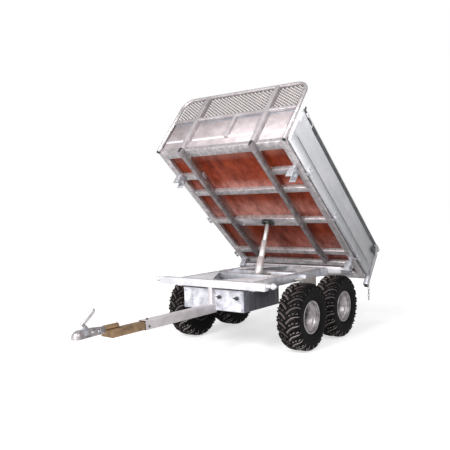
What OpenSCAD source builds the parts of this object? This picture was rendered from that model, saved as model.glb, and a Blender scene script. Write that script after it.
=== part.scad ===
// Small tipping trailer: a steel bed on ball pivots, raised by a telescopic cylinder, over a
// ladder chassis that rides on two walking beams with four balloon tyres.
// +X points to the coupler, +Y to the trailer's left side and +Z up from the ground.
// The origin lies on the ground, below the middle of the trailer's length. The sizes are set out
// from the middle of the bogie, and the whole is then moved to that origin.

/* [Running gear] */
// Radius of a tyre out to its tread
wheel_r = 280; // [265:1:295]
// Width of a tyre
tyre_w = 200; // [190:1:210]
// Height of the tread's lugs
lug_h = 10; // [7:1:12]
// Number of lugs on each side of a tyre
lugs = 18; // [14:1:20]
// Thickness of a tyre's tread band and walls
tyre_t = 14; // [10:1:20]
// Radius of a rim's bead seat
bead_r = 125; // [118:1:130]
// Radius of a rim's flange
flange_r = 137; // [134:1:142]
// Radius of a rim's well
well_r = 108; // [100:1:112]
// Half the width of a rim over its flanges
rim_half = 88; // [80:1:92]
// Thickness of a rim's sheet
rim_t = 4; // [3:0.5:5]
// Distance from the middle of the trailer to the middle of a tyre
half_track = 579; // [572:1:590]
// Distance from the middle of the bogie to each axle
axle_half = 306; // [300:1:340]
// Radius of a stub axle
stub_r = 17.5; // [14:0.5:22]
// Radius of a hub's barrel
hub_r = 34; // [30:1:40]
// Radial running gap of a hub on its stub axle
hub_gap = 0.1; // [0.05:0.01:0.2]
// Width of a walking beam
beam_w = 50; // [40:1:54]
// Height of a walking beam
beam_h = 60; // [50:1:70]
// Gap between a walking beam and its tyres
beam_gap = 17; // [12:1:24]
// Radius of a walking beam's pivot bush
bush_r = 30; // [26:1:36]
// Radius of a walking beam's pivot pin
bush_pin_r = 15; // [12:1:18]
// Thickness of a walking beam's bracket plates
bracket_t = 8; // [6:1:9]
// Length of a walking beam's bracket along the rail
bracket_l = 90; // [70:2:120]

/* [Chassis] */
// Height of the rails' top above the ground
deck_z = 600; // [590:1:602]
// Height of a rail
rail_h = 70; // [60:1:80]
// Width of a rail
rail_w = 50; // [40:1:56]
// Distance from the middle of the trailer to the middle of a rail
rail_y = 375; // [372:1:380]
// Depth and height of the front and rear beams
end_beam = 60; // [54:1:66]
// Length of a pivot pin from its beam to the ball's middle
pin_l = 60; // [50:1:70]
// Height of a beam's underside
end_beam_z = 546; // [540:1:548]
// Thickness of the corner plates
gusset_t = 5; // [4:1:8]
// Gap between two corner plates at the middle of a beam
gusset_gap = 40; // [20:2:80]
// Width of a cross member
member_w = 45; // [35:1:55]
// Front of the rear cross member
member_rear_x = -22; // [-37:1:-7]
// Back of the front cross member
member_front_x = 198; // [188:1:208]

/* [Hydraulic box] */
// Gap between the front cross member's back and the box
box_back = 36; // [20:1:44]
// Half the width of the box
box_half = 311; // [280:1:330]
// Height of the box
box_h = 176; // [150:1:190]
// Wall of the box
box_wall = 4; // [3:0.5:6]
// Distance from the box's left edge in to its outer valve
valve_in = 59; // [50:1:90]
// Distance between the two valves
valve_pitch = 172; // [140:1:180]
// Depth of the valves below the box's top
valve_drop = 60; // [40:1:80]
// Radius of a valve's knob
valve_r = 15; // [12:1:18]
// Distance from the front beam's face back to the box's face
box_setback = 42; // [30:1:50]

/* [Drawbar] */
// Side of the drawbar's square tube
bar_w = 68; // [64:1:80]
// Wall of the drawbar's tube
bar_wall = 4; // [3:0.5:5]
// Distance of the drawbar's underside below the box's underside
bar_drop = 15; // [4:1:20]
// Front end of the drawbar's tube
bar_end_x = 1586; // [1500:2:1640]
// Length of the sliding bar that shows in front of the tube
ext_show = 363; // [330:1:400]
// Length of the sliding bar inside the tube
ext_in = 140; // [100:5:200]
// Side of the sliding bar
ext_w = 56; // [48:1:57]
// Radius of the round tube on the sliding bar
sleeve_r = 18; // [14:1:20]
// Length of the round tube
sleeve_l = 125; // [100:1:140]
// Radius of the coupler's shaft in that tube
shaft_r = 12; // [9:0.5:13]
// Height of the coupler's underside above the sliding bar's underside
cup_rise = 43; // [38:1:48]
// Distance from the sliding bar's end to the middle of the ball cup
cup_dx = 218; // [200:1:240]
// Outer radius of the coupler's head
head_r = 38; // [34:1:42]
// Radius of the cup for a 50 mm ball
cup_r = 25.2; // [25.1:0.1:25.6]
// Straight depth of the cup's wall
cup_wall = 14; // [12:1:18]
// Height of the coupler's body above its underside
coupler_h = 50; // [46:1:54]
// Width of the coupler's body
coupler_w = 46; // [38:1:52]

/* [Bed pivots] */
// Height of the pivot balls above the ground
pivot_z = 585; // [584:1:588]
// Distance of the rear pivots behind the origin
pivot_back = 550; // [540:1:560]
// Distance from the rear pivots to the front pivots
pivot_span = 1326; // [1318:1:1336]
// Distance from the bed's edge in to the middle of a pivot ball
ball_in = 67; // [64:1:76]
// Radius of a pivot ball
ball_r = 25; // [22:1:27]
// Radius of a pivot pin
pin_r = 15; // [12:1:17]
// Running gap round a rear pivot ball
ball_gap = 0.5; // [0.3:0.1:0.9]
// Gap round a front pivot ball
front_gap = 5; // [4:0.5:7]
// Wall of a pivot socket
socket_wall = 10; // [8:1:13]
// Length of a pivot socket along its ball's pin
socket_l = 56; // [50:1:60]

/* [Bed] */
// Angle to which the bed is raised
tip_angle = 39.75; // [30:0.25:42]
// Distance from the pivot line up to the bed frame's underside
frame_gap = 80; // [79:1:84]
// Distance that the bed reaches past its front pivots
front_over = 355; // [340:1:370]
// Distance from the pivot line back to the frame's rear end
bed_back = 259; // [250:1:270]
// Half the width of the bed's frame
bed_half = 661; // [656:1:668]
// Width of the headboard's posts
tube_w = 40; // [34:1:44]
// Width of a side rail of the frame
side_rail_w = 60; // [54:1:64]
// Height of the frame's side rails, end beams and cross tubes
tube_h = 40; // [36:1:46]
// Width of a long tube, which runs below the frame
long_w = 30; // [26:1:38]
// Height of a long tube
long_h = 54; // [48:1:55]
// Distance from the bed's edge in to the middle of a long tube
long_in = 294; // [284:1:304]
// Width of the front and rear frame beams
perim_w = 84; // [70:1:94]
// Width of a cross tube
cross_w = 60; // [50:1:70]
// Positions of the plain cross tubes
cross_us = [-35, 150, 1068];
// Width of the middle cross tube that the cylinder pushes on
mid_w = 104; // [98:1:110]
// Distance that this tube reaches below the others
mid_drop = 10; // [6:1:16]
// Thickness of the floor board
board_t = 12; // [9:1:18]

/* [Headboard] */
// Height of the headboard above the frame's underside
head_h = 668; // [640:2:700]
// Radius of the headboard's bent tube
loop_r = 16; // [13:1:18]
// Distance that the bent tube stands out past the frame's edge
loop_out = 8; // [4:1:12]
// Distance of the short upright to the left of the middle
upright_y = 50; // [0:1:60]
// Radius of its bends
loop_bend = 105; // [80:5:130]
// Height of the headboard's middle rail above the frame's underside
head_rail_h = 361; // [340:1:380]
// Height of the middle rail's tube
head_rail_t = 30; // [24:1:36]
// Thickness of the sheet
sheet_t = 3; // [2:0.5:4]
// Width of a strip of the mesh
mesh_strip = 9; // [6:1:12]
// Distance between two strips of the mesh
mesh_pitch = 34; // [26:1:44]
// Thickness of the mesh
mesh_t = 2; // [1.5:0.5:3]

/* [Drop sides and tailgate] */
// Height of the sides above the frame's underside
side_h = 366; // [350:1:376]
// Thickness of a side
side_t = 22; // [18:1:24]
// Wall of the sides' sheet
skin = 2; // [1.5:0.5:3]
// Gap between the frame and a closed side
side_gap = 8; // [6:1:10]
// Height of a side's bottom edge above the frame's underside
side_low = 20; // [18:1:24]
// Height of the rail along a side's top
rail_top_h = 60; // [50:1:66]
// Distance that the top rail stands out of a side
rail_out = 10; // [8:1:12]
// Height of the middle of the pressed groove above the frame's underside
groove_h = 122; // [112:1:140]
// Depth of the pressed groove
groove_d = 7; // [4:1:9]
// Gap at each end of a side
end_gap = 6; // [5:1:8]
// Positions of the side hinges
hinge_us = [60, 650, 1245];
// Radius of a hinge knuckle
knuckle_r = 8; // [7:0.5:9]
// Radius of a hinge pin
hinge_pin_r = 4; // [3:0.5:5]
// Running gap of a hinge pin
hinge_gap = 0.1; // [0.05:0.01:0.2]
// Distance from a side's face to its hinge line
hinge_out = 12; // [11:1:14]
// Width of a rear post
post_w = 30; // [26:1:34]
// Depth of a rear post across the trailer
post_d = 35; // [31:1:38]
// Gap between the floor board and a rear post
post_gap = 0.5; // [0.3:0.1:1]
// Depth of the tailgate's hinge line below the sides' top
gate_under = 5; // [0:1:10]
// Radius of a tailgate pin
gate_pin_r = 8; // [6:1:10]
// Distance that the tailgate's end tubes hang below the frame
gate_drop = 64; // [50:1:70]
// Number of links in the safety chain
links = 5; // [3:1:5]

/* [Cylinder] */
// Position of the cylinder's trunnion along the trailer
trunnion_x = 100; // [96:1:104]
// Height of the cylinder's trunnion
trunnion_z = 540; // [536:1:544]
// Distance from the pivot line to the cylinder's head socket
eye_u = 640; // [636:1:644]
// Outer radius of the barrel
barrel_r = 42; // [40:1:44]
// Outer radius of the first stage
stage1_r = 33; // [32:0.5:34]
// Outer radius of the second stage
stage2_r = 26; // [25:0.5:27]
// Outer radius of the last stage
stage3_r = 19; // [18:0.5:20]
// Sliding gap between two stages
stage_gap = 0.5; // [0.3:0.1:0.8]
// Wall of a stage
stage_wall = 3.5; // [3:0.5:4.5]
// Length of the barrel below its trunnion
barrel_low = 205; // [200:1:208]
// Length of the barrel above its trunnion
barrel_up = 42; // [38:1:44]
// Radius of the ball at the cylinder's head
eye_r = 20; // [17:0.5:21]
// Room round that ball in its socket
eye_room = 14; // [13:1:16]
// Half the distance between the trunnion hangers
hanger_y = 60; // [56:1:70]
// Thickness of a trunnion hanger
hanger_t = 8; // [6:1:10]

/* [Hidden] */

galvanised = [0.78, 0.80, 0.82];
dark_zinc = [0.55, 0.57, 0.60];
rubber = [0.07, 0.07, 0.07];
gold = [0.62, 0.53, 0.33];
board = [0.42, 0.16, 0.10];
steel = [0.70, 0.71, 0.73];
black = [0.05, 0.05, 0.05];

tiny = 0.1;

// Heights and places of the chassis
ball_y = bed_half - ball_in;
end_beam_half = ball_y - pin_l;
rail_z = deck_z - rail_h;
beam_front_x = pivot_span - pivot_back;
box_front_x = beam_front_x + end_beam / 2 - box_setback;
box_rear_x = member_front_x + box_back;
box_z = rail_z - box_h;
bar_z = box_z - bar_drop;
bar_mid = bar_z + bar_w / 2;
ext_z = bar_z + bar_wall;
ext_end_x = bar_end_x + ext_show;
cup_x = ext_end_x + cup_dx;
cup_z = ext_z + cup_rise;
sleeve_z = ext_z + ext_w + sleeve_r - tiny;
sleeve_gap = 0.3;
rail_rear_x = end_beam / 2 - pivot_back;
rail_front_x = beam_front_x - end_beam / 2;

// Running gear
beam_y = half_track - tyre_w / 2 - beam_gap - beam_w / 2;
bogie_z = wheel_r + beam_h / 2 + bush_r;
bracket_out = beam_y + beam_w / 2 + bracket_t;
hub_in = beam_y + beam_w / 2 + bracket_t + 6 - half_track;
hub_out = -18;

// Levels and edges of the bed, measured from the pivot line
bed_front = pivot_span + front_over;
long_y = bed_half - long_in;
w0 = frame_gap;
w1 = w0 + tube_h;
w3 = w1 + board_t;
long_w0 = w0 - long_h;
long_a = long_y - long_w / 2;
long_b = long_y + long_w / 2;
frame_in = bed_half - side_rail_w;
head_u = bed_front - tube_w;
side_in = bed_half + side_gap;
side_out = side_in + side_t;
hinge_v = side_out + hinge_out;
hinge_w = w0 + knuckle_r;
knuckle_l = 24;
gate_u = -bed_back - side_gap - side_t / 2;
gate_w = w0 + side_h - gate_under;
gate_half = side_out - 2;
post_in = bed_half - post_d;
ear_in = post_in + 10;
loop_y = bed_half + loop_out - loop_r;
ear_t = 10;
ear_r = 25;
gate_gap = 8;
side_back = -bed_back + post_w + end_gap;
side_front = head_u - end_gap;

// The cylinder's line at this angle, and how far each stage is out
eye_w = w0;
socket_r = eye_r + eye_room + 8;
collar_r = 62;
eye_x = -pivot_back + eye_u * cos(tip_angle) - eye_w * sin(tip_angle);
eye_z = pivot_z + eye_u * sin(tip_angle) + eye_w * cos(tip_angle);
cyl_len = norm([eye_x - trunnion_x, eye_z - trunnion_z]);
cyl_shut = norm([eye_u - pivot_back - trunnion_x, pivot_z + eye_w - trunnion_z]);
cyl_swing = atan2(trunnion_x - eye_x, eye_z - trunnion_z);
stage_out = (cyl_len - cyl_shut) / 3;

// Front and rear ends of the trailer, and the middle between them
tip_x = cup_x + head_r;
rear_x = -pivot_back + (gate_u - ear_r) * cos(tip_angle) - (gate_w + ear_r) * sin(tip_angle);
mid_x = (tip_x + rear_x) / 2;
plug_t = 5;
chain_pin_r = 3.5;
chain_wire = 3;
chain_gap = 0.2;
chain_bend = 7;
chain_half = 12;
chain_y = gate_half + chain_bend + chain_wire + 2;
trunnion_r = 12;

// The trailer moved so that the origin lies below the middle of its length
module placed() { translate([-mid_x, 0, 0]) children(); }

// A box between two corners
module block(a, b) { translate(a) cube(b - a); }

// The children and their mirror image across the trailer's middle
module pair() { children(); mirror([0, 1, 0]) children(); }

// The children in the frame of the raised bed, with the pivot line as its origin
module tipped() { translate([-pivot_back, 0, pivot_z]) rotate([0, -tip_angle, 0]) children(); }

// The children along the cylinder's axis, with the trunnion as their origin
module on_cylinder() { translate([trunnion_x, 0, trunnion_z]) rotate([0, -cyl_swing, 0]) children(); }

// A round bar along Y from a to b
module bar_y(r, a, b) { translate([0, a, 0]) rotate([-90, 0, 0]) cylinder(r = r, h = b - a, $fn = 16); }

// A section in Y and Z drawn out along X
module along_x(a, b) { translate([a, 0, 0]) rotate([90, 0, 90]) linear_extrude(b - a) children(); }

// The children at one wheel's centre, with the wheel's outer face towards +Y of its own frame
module at_wheel(x, s) {
  mirror([0, s < 0 ? 1 : 0, 0]) translate([x, half_track, wheel_r]) rotate([-90, 0, 0]) children();
}

// Chassis

module chassis_rails() {
  color(galvanised) pair()
    block([rail_rear_x, rail_y - rail_w / 2, rail_z], [rail_front_x, rail_y + rail_w / 2, deck_z]);
}

// An end beam with a pin and a ball at each end
module end_beam_at(x) {
  block([x - end_beam / 2, -end_beam_half, end_beam_z], [x + end_beam / 2, end_beam_half, end_beam_z + end_beam]);
  pair() translate([x, 0, pivot_z]) {
    bar_y(pin_r, end_beam_half, ball_y);
    translate([0, ball_y, 0]) sphere(r = ball_r, $fn = 16);
    bar_y(pin_r * 0.7, ball_y, ball_y + ball_r + 4);
  }
}

module front_beam() { color(galvanised) end_beam_at(beam_front_x); }
module rear_beam() { color(galvanised) end_beam_at(-pivot_back); }

module cross_members() {
  inner = rail_y - rail_w / 2;
  color(galvanised) {
    block([member_rear_x - member_w, -inner, rail_z], [member_rear_x, inner, deck_z - gusset_t]);
    block([member_front_x, -inner, rail_z], [member_front_x + member_w, inner, deck_z - gusset_t]);
  }
}

// A triangle in the corner between a rail and an end beam
module corner_plate(x_beam, x_rail) {
  inner = rail_y - rail_w / 2;
  translate([0, 0, deck_z - gusset_t]) linear_extrude(gusset_t)
    polygon([[x_beam, gusset_gap / 2], [x_beam, inner], [x_rail, inner]]);
}

module corner_plates() {
  color(dark_zinc) pair() {
    corner_plate(rail_front_x, member_front_x);
    corner_plate(rail_rear_x, member_rear_x);
  }
}

// Two plates between the cross members that carry the cylinder's trunnion
module trunnion_hangers() {
  color(gold) pair() difference() {
    block([member_rear_x, hanger_y, rail_z - 30], [member_front_x, hanger_y + hanger_t, rail_z + 50]);
    translate([trunnion_x, 0, trunnion_z]) bar_y(trunnion_r + hub_gap, hanger_y - 1, hanger_y + hanger_t + 1);
  }
}

module hydraulic_box() {
  t = box_wall;
  color(dark_zinc) difference() {
    block([box_rear_x, -box_half, box_z], [box_front_x, box_half, rail_z]);
    block([box_rear_x + t, t - box_half, box_z + t], [box_front_x - t, box_half - t, rail_z - t]);
  }
}

// Two valves with short levers on the box's face
module box_controls() {
  outer = box_half - valve_in;
  color(black) for (y = [outer - valve_pitch, outer]) translate([box_front_x, y, rail_z - valve_drop]) rotate([0, 90, 0]) {
    cylinder(r = valve_r - 5, h = 14, $fn = 16);
    translate([0, 0, 14]) cylinder(r = valve_r, h = 16, $fn = 16);
    translate([-4, -valve_r - 19, 17]) cube([8, valve_r + 19, 8]);
  }
}

module drawbar() {
  half = bar_w / 2;
  hole = half - bar_wall;
  color(galvanised) difference() {
    union() {
      block([box_front_x, -half, bar_z], [bar_end_x, half, bar_z + bar_w]);
      block([box_front_x, -20, bar_z + bar_w], [box_front_x + box_setback, 20, end_beam_z]);
    }
    block([bar_end_x - ext_in, -hole, bar_z + bar_wall], [bar_end_x + 1, hole, bar_z + bar_w - bar_wall]);
  }
}

module sliding_bar() {
  half = ext_w / 2;
  color(gold) {
    translate([0, half, 0]) rotate([90, 0, 0]) linear_extrude(ext_w)
      polygon([[bar_end_x - ext_in, ext_z], [ext_end_x - ext_w, ext_z], [ext_end_x - 6, ext_z + ext_w * 0.3],
        [ext_end_x, ext_z + ext_w], [bar_end_x - ext_in, ext_z + ext_w]]);
    translate([ext_end_x - sleeve_l, 0, sleeve_z]) rotate([0, 90, 0]) difference() {
      cylinder(r = sleeve_r, h = sleeve_l, $fn = 16);
      translate([0, 0, -1]) cylinder(r = shaft_r + sleeve_gap, h = sleeve_l + 2, $fn = 16);
    }
  }
}

// Pressed coupler: a shaft in the round tube, a tapered body and a domed head over the ball cup
module coupler() {
  half = coupler_w / 2;
  back = ext_end_x + 2;
  body_top = cup_z + coupler_h;
  color(steel) difference() {
    union() {
      translate([back - sleeve_l, 0, sleeve_z]) rotate([0, 90, 0]) cylinder(r = shaft_r, h = sleeve_l + 60, $fn = 16);
      translate([0, half, 0]) rotate([90, 0, 0]) linear_extrude(coupler_w)
        polygon([[back, cup_z], [cup_x, cup_z], [cup_x, body_top], [cup_x - 110, body_top], [back, body_top - 9]]);
      translate([0, 0, cup_z]) linear_extrude(6)
        polygon([[back + 60, -half], [cup_x - 8, -head_r], [cup_x - 8, head_r], [back + 60, half]]);
      translate([cup_x, 0, cup_z]) cylinder(r = head_r, h = coupler_h - head_r, $fn = 20);
      translate([cup_x, 0, body_top - head_r]) intersection() {
        sphere(r = head_r, $fn = 20);
        translate([0, 0, head_r / 2]) cube([2 * head_r, 2 * head_r, head_r], center = true);
      }
    }
    translate([cup_x, 0, cup_z - 1]) cylinder(r = cup_r, h = cup_wall + 1, $fn = 20);
    translate([cup_x, 0, cup_z + cup_wall]) sphere(r = cup_r, $fn = 20);
  }
}

// A round bar with round ends between two points given as X and Z
module bar_xz(r, a, b) {
  d = b - a;
  translate([a[0], 0, a[1]]) {
    sphere(r = r, $fn = 16);
    rotate([0, atan2(d[0], d[1]), 0]) cylinder(r = r, h = norm(d), $fn = 16);
    translate([d[0], 0, d[1]]) sphere(r = r, $fn = 16);
  }
}

// Cranked locking handle on a foot behind the coupler's head
module coupler_handle() {
  r = 11;
  foot = [cup_x - 72, cup_z + coupler_h + r + 1];
  knee = foot + [30, 26];
  color(steel) {
    translate([foot[0] - 12, -9, cup_z + coupler_h]) cube([24, 18, r]);
    bar_xz(r, foot, knee);
    bar_xz(r, knee, knee + [-94, 76]);
  }
}

// Running gear

// Two plates and a top block that hold each walking beam's pin
module bogie_brackets() {
  in_y = beam_y - beam_w / 2;
  half = bracket_l / 2;
  color(galvanised) pair() {
    for (y = [in_y - bracket_t, in_y + beam_w]) difference() {
      translate([0, y + bracket_t, 0]) rotate([90, 0, 0]) linear_extrude(bracket_t)
        polygon([[-half, rail_z], [-22, bogie_z - 20], [22, bogie_z - 20], [half, rail_z]]);
      translate([0, 0, bogie_z]) bar_y(bush_pin_r, y - 1, y + bracket_t + 1);
    }
    block([-half, rail_y + rail_w / 2, rail_z], [half, bracket_out, deck_z - 10]);
    translate([0, 0, bogie_z]) bar_y(bush_pin_r, in_y - bracket_t - 4, in_y + beam_w + bracket_t + 4);
  }
}

module walking_beams() {
  in_y = beam_y - beam_w / 2;
  color(dark_zinc) pair() difference() {
    union() {
      block([-axle_half - 34, in_y, wheel_r - beam_h / 2], [axle_half + 34, in_y + beam_w, wheel_r + beam_h / 2]);
      translate([0, 0, bogie_z]) bar_y(bush_r, in_y, in_y + beam_w);
      block([-bush_r, in_y, wheel_r], [bush_r, in_y + beam_w, bogie_z]);
    }
    translate([0, 0, bogie_z]) bar_y(bush_pin_r, in_y - 1, in_y + beam_w + 1);
  }
}

module stub_axles() {
  out_y = beam_y + beam_w / 2;
  color(steel) for (x = [-axle_half, axle_half]) pair() translate([x, 0, wheel_r]) {
    bar_y(hub_r - 4, out_y, out_y + bracket_t);
    bar_y(stub_r, out_y, half_track + hub_out - 8);
  }
}

module tyre_section() {
  h = tyre_w / 2;
  b = rim_half - 2 * rim_t;
  mid = (flange_r + wheel_r) / 2;
  base = wheel_r - lug_h;
  outer = [[bead_r, b], [flange_r + 1, b], [flange_r + 12, h - 7], [mid, h], [base - 24, h - 3],
    [base - 9, h - 12], [base, h - 28]];
  inner = [[base - tyre_t, h - 40], [base - tyre_t - 12, h - tyre_t - 8], [mid, h - tyre_t],
    [flange_r + 14, b - tyre_t], [bead_r, b - tyre_t]];
  polygon(concat(
    outer, [for (i = [6:-1:0]) [outer[i][0], -outer[i][1]]],
    [for (i = [4:-1:0]) [inner[i][0], -inner[i][1]]], inner));
}

// A slanting lug from near the middle of the tread to its shoulder, its top's corners on the tyre's radius
module lug() {
  h = tyre_w / 2;
  reach = 22;
  top = sqrt(wheel_r * wheel_r - reach * reach);
  low = wheel_r - lug_h - 10;
  rotate([0, 0, 90 - atan2(reach, top)]) translate([low, 0, 0]) rotate([0, 90, 0]) linear_extrude(top - low)
    polygon([[-6, -reach], [-6, 2 - reach / 2], [18 - h, reach], [18 - h, reach - 17]]);
}

module tyre(x, s) {
  color(rubber) at_wheel(x, s) {
    rotate_extrude($fn = 16) tyre_section();
    mirror([1, 0, 0]) for (i = [0:lugs - 1]) rotate([0, 0, i * 360 / lugs]) {
      lug();
      rotate([0, 0, 180 / lugs]) mirror([0, 0, 1]) lug();
    }
  }
}

module tyre_front_left() { tyre(axle_half, 1); }
module tyre_front_right() { tyre(axle_half, -1); }
module tyre_rear_left() { tyre(-axle_half, 1); }
module tyre_rear_right() { tyre(-axle_half, -1); }

// Rolled rim with its well, a dished disc inboard of the middle, and the hub in one turned section
module rim_section() {
  h = rim_half;
  t = rim_t;
  polygon([[flange_r, -h], [flange_r, t - h], [bead_r + t, t - h], [bead_r, 2 * t - h], [bead_r, -62],
    [well_r, -50], [well_r, 34], [bead_r, 46], [bead_r, h - 2 * t], [bead_r + t, h - t],
    [flange_r, h - t], [flange_r, h], [bead_r + t - 2, h], [bead_r - t, h - 2 * t], [bead_r - t, 48],
    [well_r - t, 36], [well_r - t, -52], [bead_r - t, -64], [bead_r - t, 2 * t - h], [bead_r + t - 2, -h]]);
  d = hub_out;
  bore = stub_r + hub_gap;
  polygon([[bore, hub_in], [hub_r + 10, hub_in], [hub_r + 10, hub_in + 18], [hub_r, hub_in + 22],
    [hub_r, d - 12], [62, d - 12], [84, d - 30], [well_r - t + tiny, d - 30], [well_r - t + tiny, d - 24],
    [86, d - 24], [64, d - 6], [hub_r - 2, d - 6], [hub_r - 4, d + 14], [hub_r - 12, d + 20], [0, d + 20],
    [0, d], [bore, d]]);
}

module rim(x, s) {
  color(steel) at_wheel(x, s) difference() {
    rotate_extrude($fn = 16) rim_section();
    for (a = [0:60:300]) rotate([0, 0, a + 30]) translate([95, 0, -90]) cylinder(r = 6, h = 90, $fn = 24);
  }
}

module rim_front_left() { rim(axle_half, 1); }
module rim_front_right() { rim(axle_half, -1); }
module rim_rear_left() { rim(-axle_half, 1); }
module rim_rear_right() { rim(-axle_half, -1); }

// Cylinder

// A tube of the cylinder with a thicker lip at its upper end
module ram_tube(r, bore, low, top, lip) {
  difference() {
    union() {
      translate([0, 0, low]) cylinder(r = r, h = top - low, $fn = 20);
      translate([0, 0, top - 12]) cylinder(r = r + lip, h = 12, $fn = 20);
    }
    translate([0, 0, low + 8]) cylinder(r = bore, h = top - low, $fn = 20);
  }
}

module cylinder_barrel() {
  color(steel) on_cylinder() difference() {
    union() {
      translate([0, 0, -barrel_low]) cylinder(r = barrel_r, h = barrel_low + barrel_up, $fn = 20);
      bar_y(trunnion_r, -hanger_y - hanger_t - 4, hanger_y + hanger_t + 4);
      bar_y(trunnion_r + 8, 8 - hanger_y, hanger_y - 8);
    }
    translate([0, 0, 8 - barrel_low]) cylinder(r = stage1_r + stage_gap, h = barrel_low + barrel_up, $fn = 20);
  }
}

module cylinder_stage_1() {
  color(steel) on_cylinder() translate([0, 0, stage_out])
    ram_tube(stage1_r, stage2_r + stage_gap, 20 - barrel_low, barrel_up + 16, 0);
}

module cylinder_stage_2() {
  color(steel) on_cylinder() translate([0, 0, 2 * stage_out])
    ram_tube(stage2_r, stage3_r + stage_gap, 32 - barrel_low, barrel_up + 32, 0);
}

module cylinder_stage_3() {
  color(steel) on_cylinder() translate([0, 0, 3 * stage_out]) {
    translate([0, 0, 44 - barrel_low]) cylinder(r = stage3_r, h = cyl_shut + barrel_low - 44 - eye_r * 0.8, $fn = 20);
    translate([0, 0, cyl_shut]) sphere(r = eye_r, $fn = 16);
  }
}

// Bed frame

module bed_side_rails() {
  color(galvanised) tipped() pair()
    block([-bed_back, frame_in, w0], [head_u, bed_half, w1]);
}

// Long tubes below the frame, from just ahead of the rear beam to the headboard's front
module bed_long_tubes() {
  color(galvanised) tipped() pair()
    block([end_beam / 2 + 5, long_a, long_w0], [bed_front, long_b, w0]);
}

// Cross tubes; the one over the cylinder is wide and deep between the long tubes and holds its socket
module bed_cross_tubes() {
  color(galvanised) tipped() {
    for (u = cross_us) block([u - cross_w / 2, -frame_in, w0], [u + cross_w / 2, frame_in, w1]);
    difference() {
      union() {
        block([eye_u - cross_w / 2, -frame_in, w0], [eye_u + cross_w / 2, frame_in, w1]);
        block([eye_u - mid_w / 2, -long_a, w0 - mid_drop], [eye_u + mid_w / 2, long_a, w1]);
      }
      translate([eye_u, 0, w0 - mid_drop - 1]) cylinder(r = socket_r + sleeve_gap, h = w1, $fn = 20);
    }
  }
}

module bed_end_beams() {
  color(galvanised) tipped() {
    block([-bed_back, -frame_in, w0], [perim_w - bed_back, frame_in, w1]);
    block([head_u - perim_w, -frame_in, w0], [head_u, frame_in, w1]);
  }
}

module bed_outriggers() {
  color(galvanised) tipped() pair()
    block([pivot_span - cross_w, long_a, w0], [pivot_span + 4, frame_in, w1]);
}

// Rear sockets close round their balls; front sockets are open below, so the bed lifts off
module pivot_sockets() {
  hole = ball_r + ball_gap;
  slot = ball_r + front_gap;
  color(steel) tipped() pair() {
    difference() {
      block([-hole - socket_wall, ball_y - socket_l / 2, -hole - socket_wall],
        [hole + socket_wall, ball_y + socket_l / 2, w0]);
      bar_y(hole, ball_y - socket_l, ball_y + socket_l);
    }
    translate([pivot_span, 0, 0]) difference() {
      block([-slot - socket_wall, ball_y - socket_l / 2, -slot], [slot + socket_wall, ball_y + socket_l / 2, w0]);
      bar_y(slot, ball_y - socket_l, ball_y + socket_l);
      block([-slot, ball_y - socket_l, -2 * slot], [slot, ball_y + socket_l, 0]);
    }
  }
}

// Round cup in the middle cross tube that the cylinder's ball pushes on, with a slanting collar
module head_socket() {
  r_in = eye_r + eye_room;
  lip = w0 - mid_drop - 4;
  color(black) tipped() translate([eye_u, 0, 0]) difference() {
    union() {
      translate([0, 0, lip]) cylinder(r = socket_r, h = w1 - lip, $fn = 20);
      difference() {
        translate([0, 0, eye_w]) rotate([0, tip_angle - cyl_swing, 0]) translate([0, 0, -eye_r - 6])
          cylinder(r = collar_r, h = 12, $fn = 20);
        block([-2 * collar_r, -2 * collar_r, w0 - mid_drop - tiny], [2 * collar_r, 2 * collar_r, w1 + 1]);
      }
    }
    translate([0, 0, lip - eye_r * 2]) cylinder(r = r_in, h = w1 - 7 - lip + eye_r * 2, $fn = 20);
  }
}

// The board is notched round the rear posts, which stand on the side rails
module floor_board() {
  color(board) tipped() difference() {
    block([-bed_back, -bed_half, w1], [head_u - sheet_t, bed_half, w3]);
    pair() block([-bed_back - 1, post_in - post_gap, w1 - 1], [post_w + post_gap - bed_back, bed_half + 1, w3 + 1]);
  }
}

// Headboard

// Bent round tube round the headboard's two sides and top
module headboard_loop() {
  y = loop_y;
  top = w0 + head_h - loop_r;
  color(galvanised) tipped() translate([head_u + loop_r, 0, 0]) {
    pair() {
      translate([0, y, w0]) cylinder(r = loop_r, h = top - loop_bend - w0, $fn = 16);
      translate([0, y - loop_bend, top - loop_bend]) rotate([90, 0, 90]) rotate_extrude(angle = 90, $fn = 16)
        translate([loop_bend, 0]) circle(r = loop_r, $fn = 16);
    }
    translate([0, 0, top]) bar_y(loop_r, loop_bend - y, y - loop_bend);
  }
}

module headboard_posts() {
  a = long_y - tube_w / 2;
  b = long_y + tube_w / 2;
  rail_w0 = w0 + head_rail_h - head_rail_t / 2;
  rail_w1 = rail_w0 + head_rail_t;
  edge = loop_y - loop_r;
  color(galvanised) tipped() {
    pair() {
      block([head_u, a, w0], [bed_front, b, w0 + head_h - 2 * loop_r]);
      block([head_u, b, rail_w0], [head_u + head_rail_t, edge, rail_w1]);
    }
    block([head_u, -a, rail_w0], [head_u + head_rail_t, a, rail_w1]);
    block([head_u, upright_y - 15, w0 + 100], [head_u + head_rail_t, upright_y + 15, rail_w0]);
  }
}

module headboard_sheet() {
  color(galvanised) tipped()
    block([head_u - sheet_t, -bed_half, w1], [head_u, bed_half, w0 + head_rail_h + head_rail_t / 2]);
}

// The mesh's outline: as wide as the loop's middle line, with its round corners
module mesh_outline(inset) {
  y = loop_y - inset;
  low = w0 + head_rail_h + head_rail_t / 2;
  top = w0 + head_h - loop_r - inset;
  r = loop_bend - inset;
  difference() {
    translate([-y, low]) square([2 * y, top - low]);
    for (s = [-1, 1]) difference() {
      translate([s > 0 ? y - r : -y - 1, top - r]) square([r + 1, r + 1]);
      translate([s * (y - r), top - r]) circle(r = r, $fn = 20);
    }
  }
}

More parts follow.
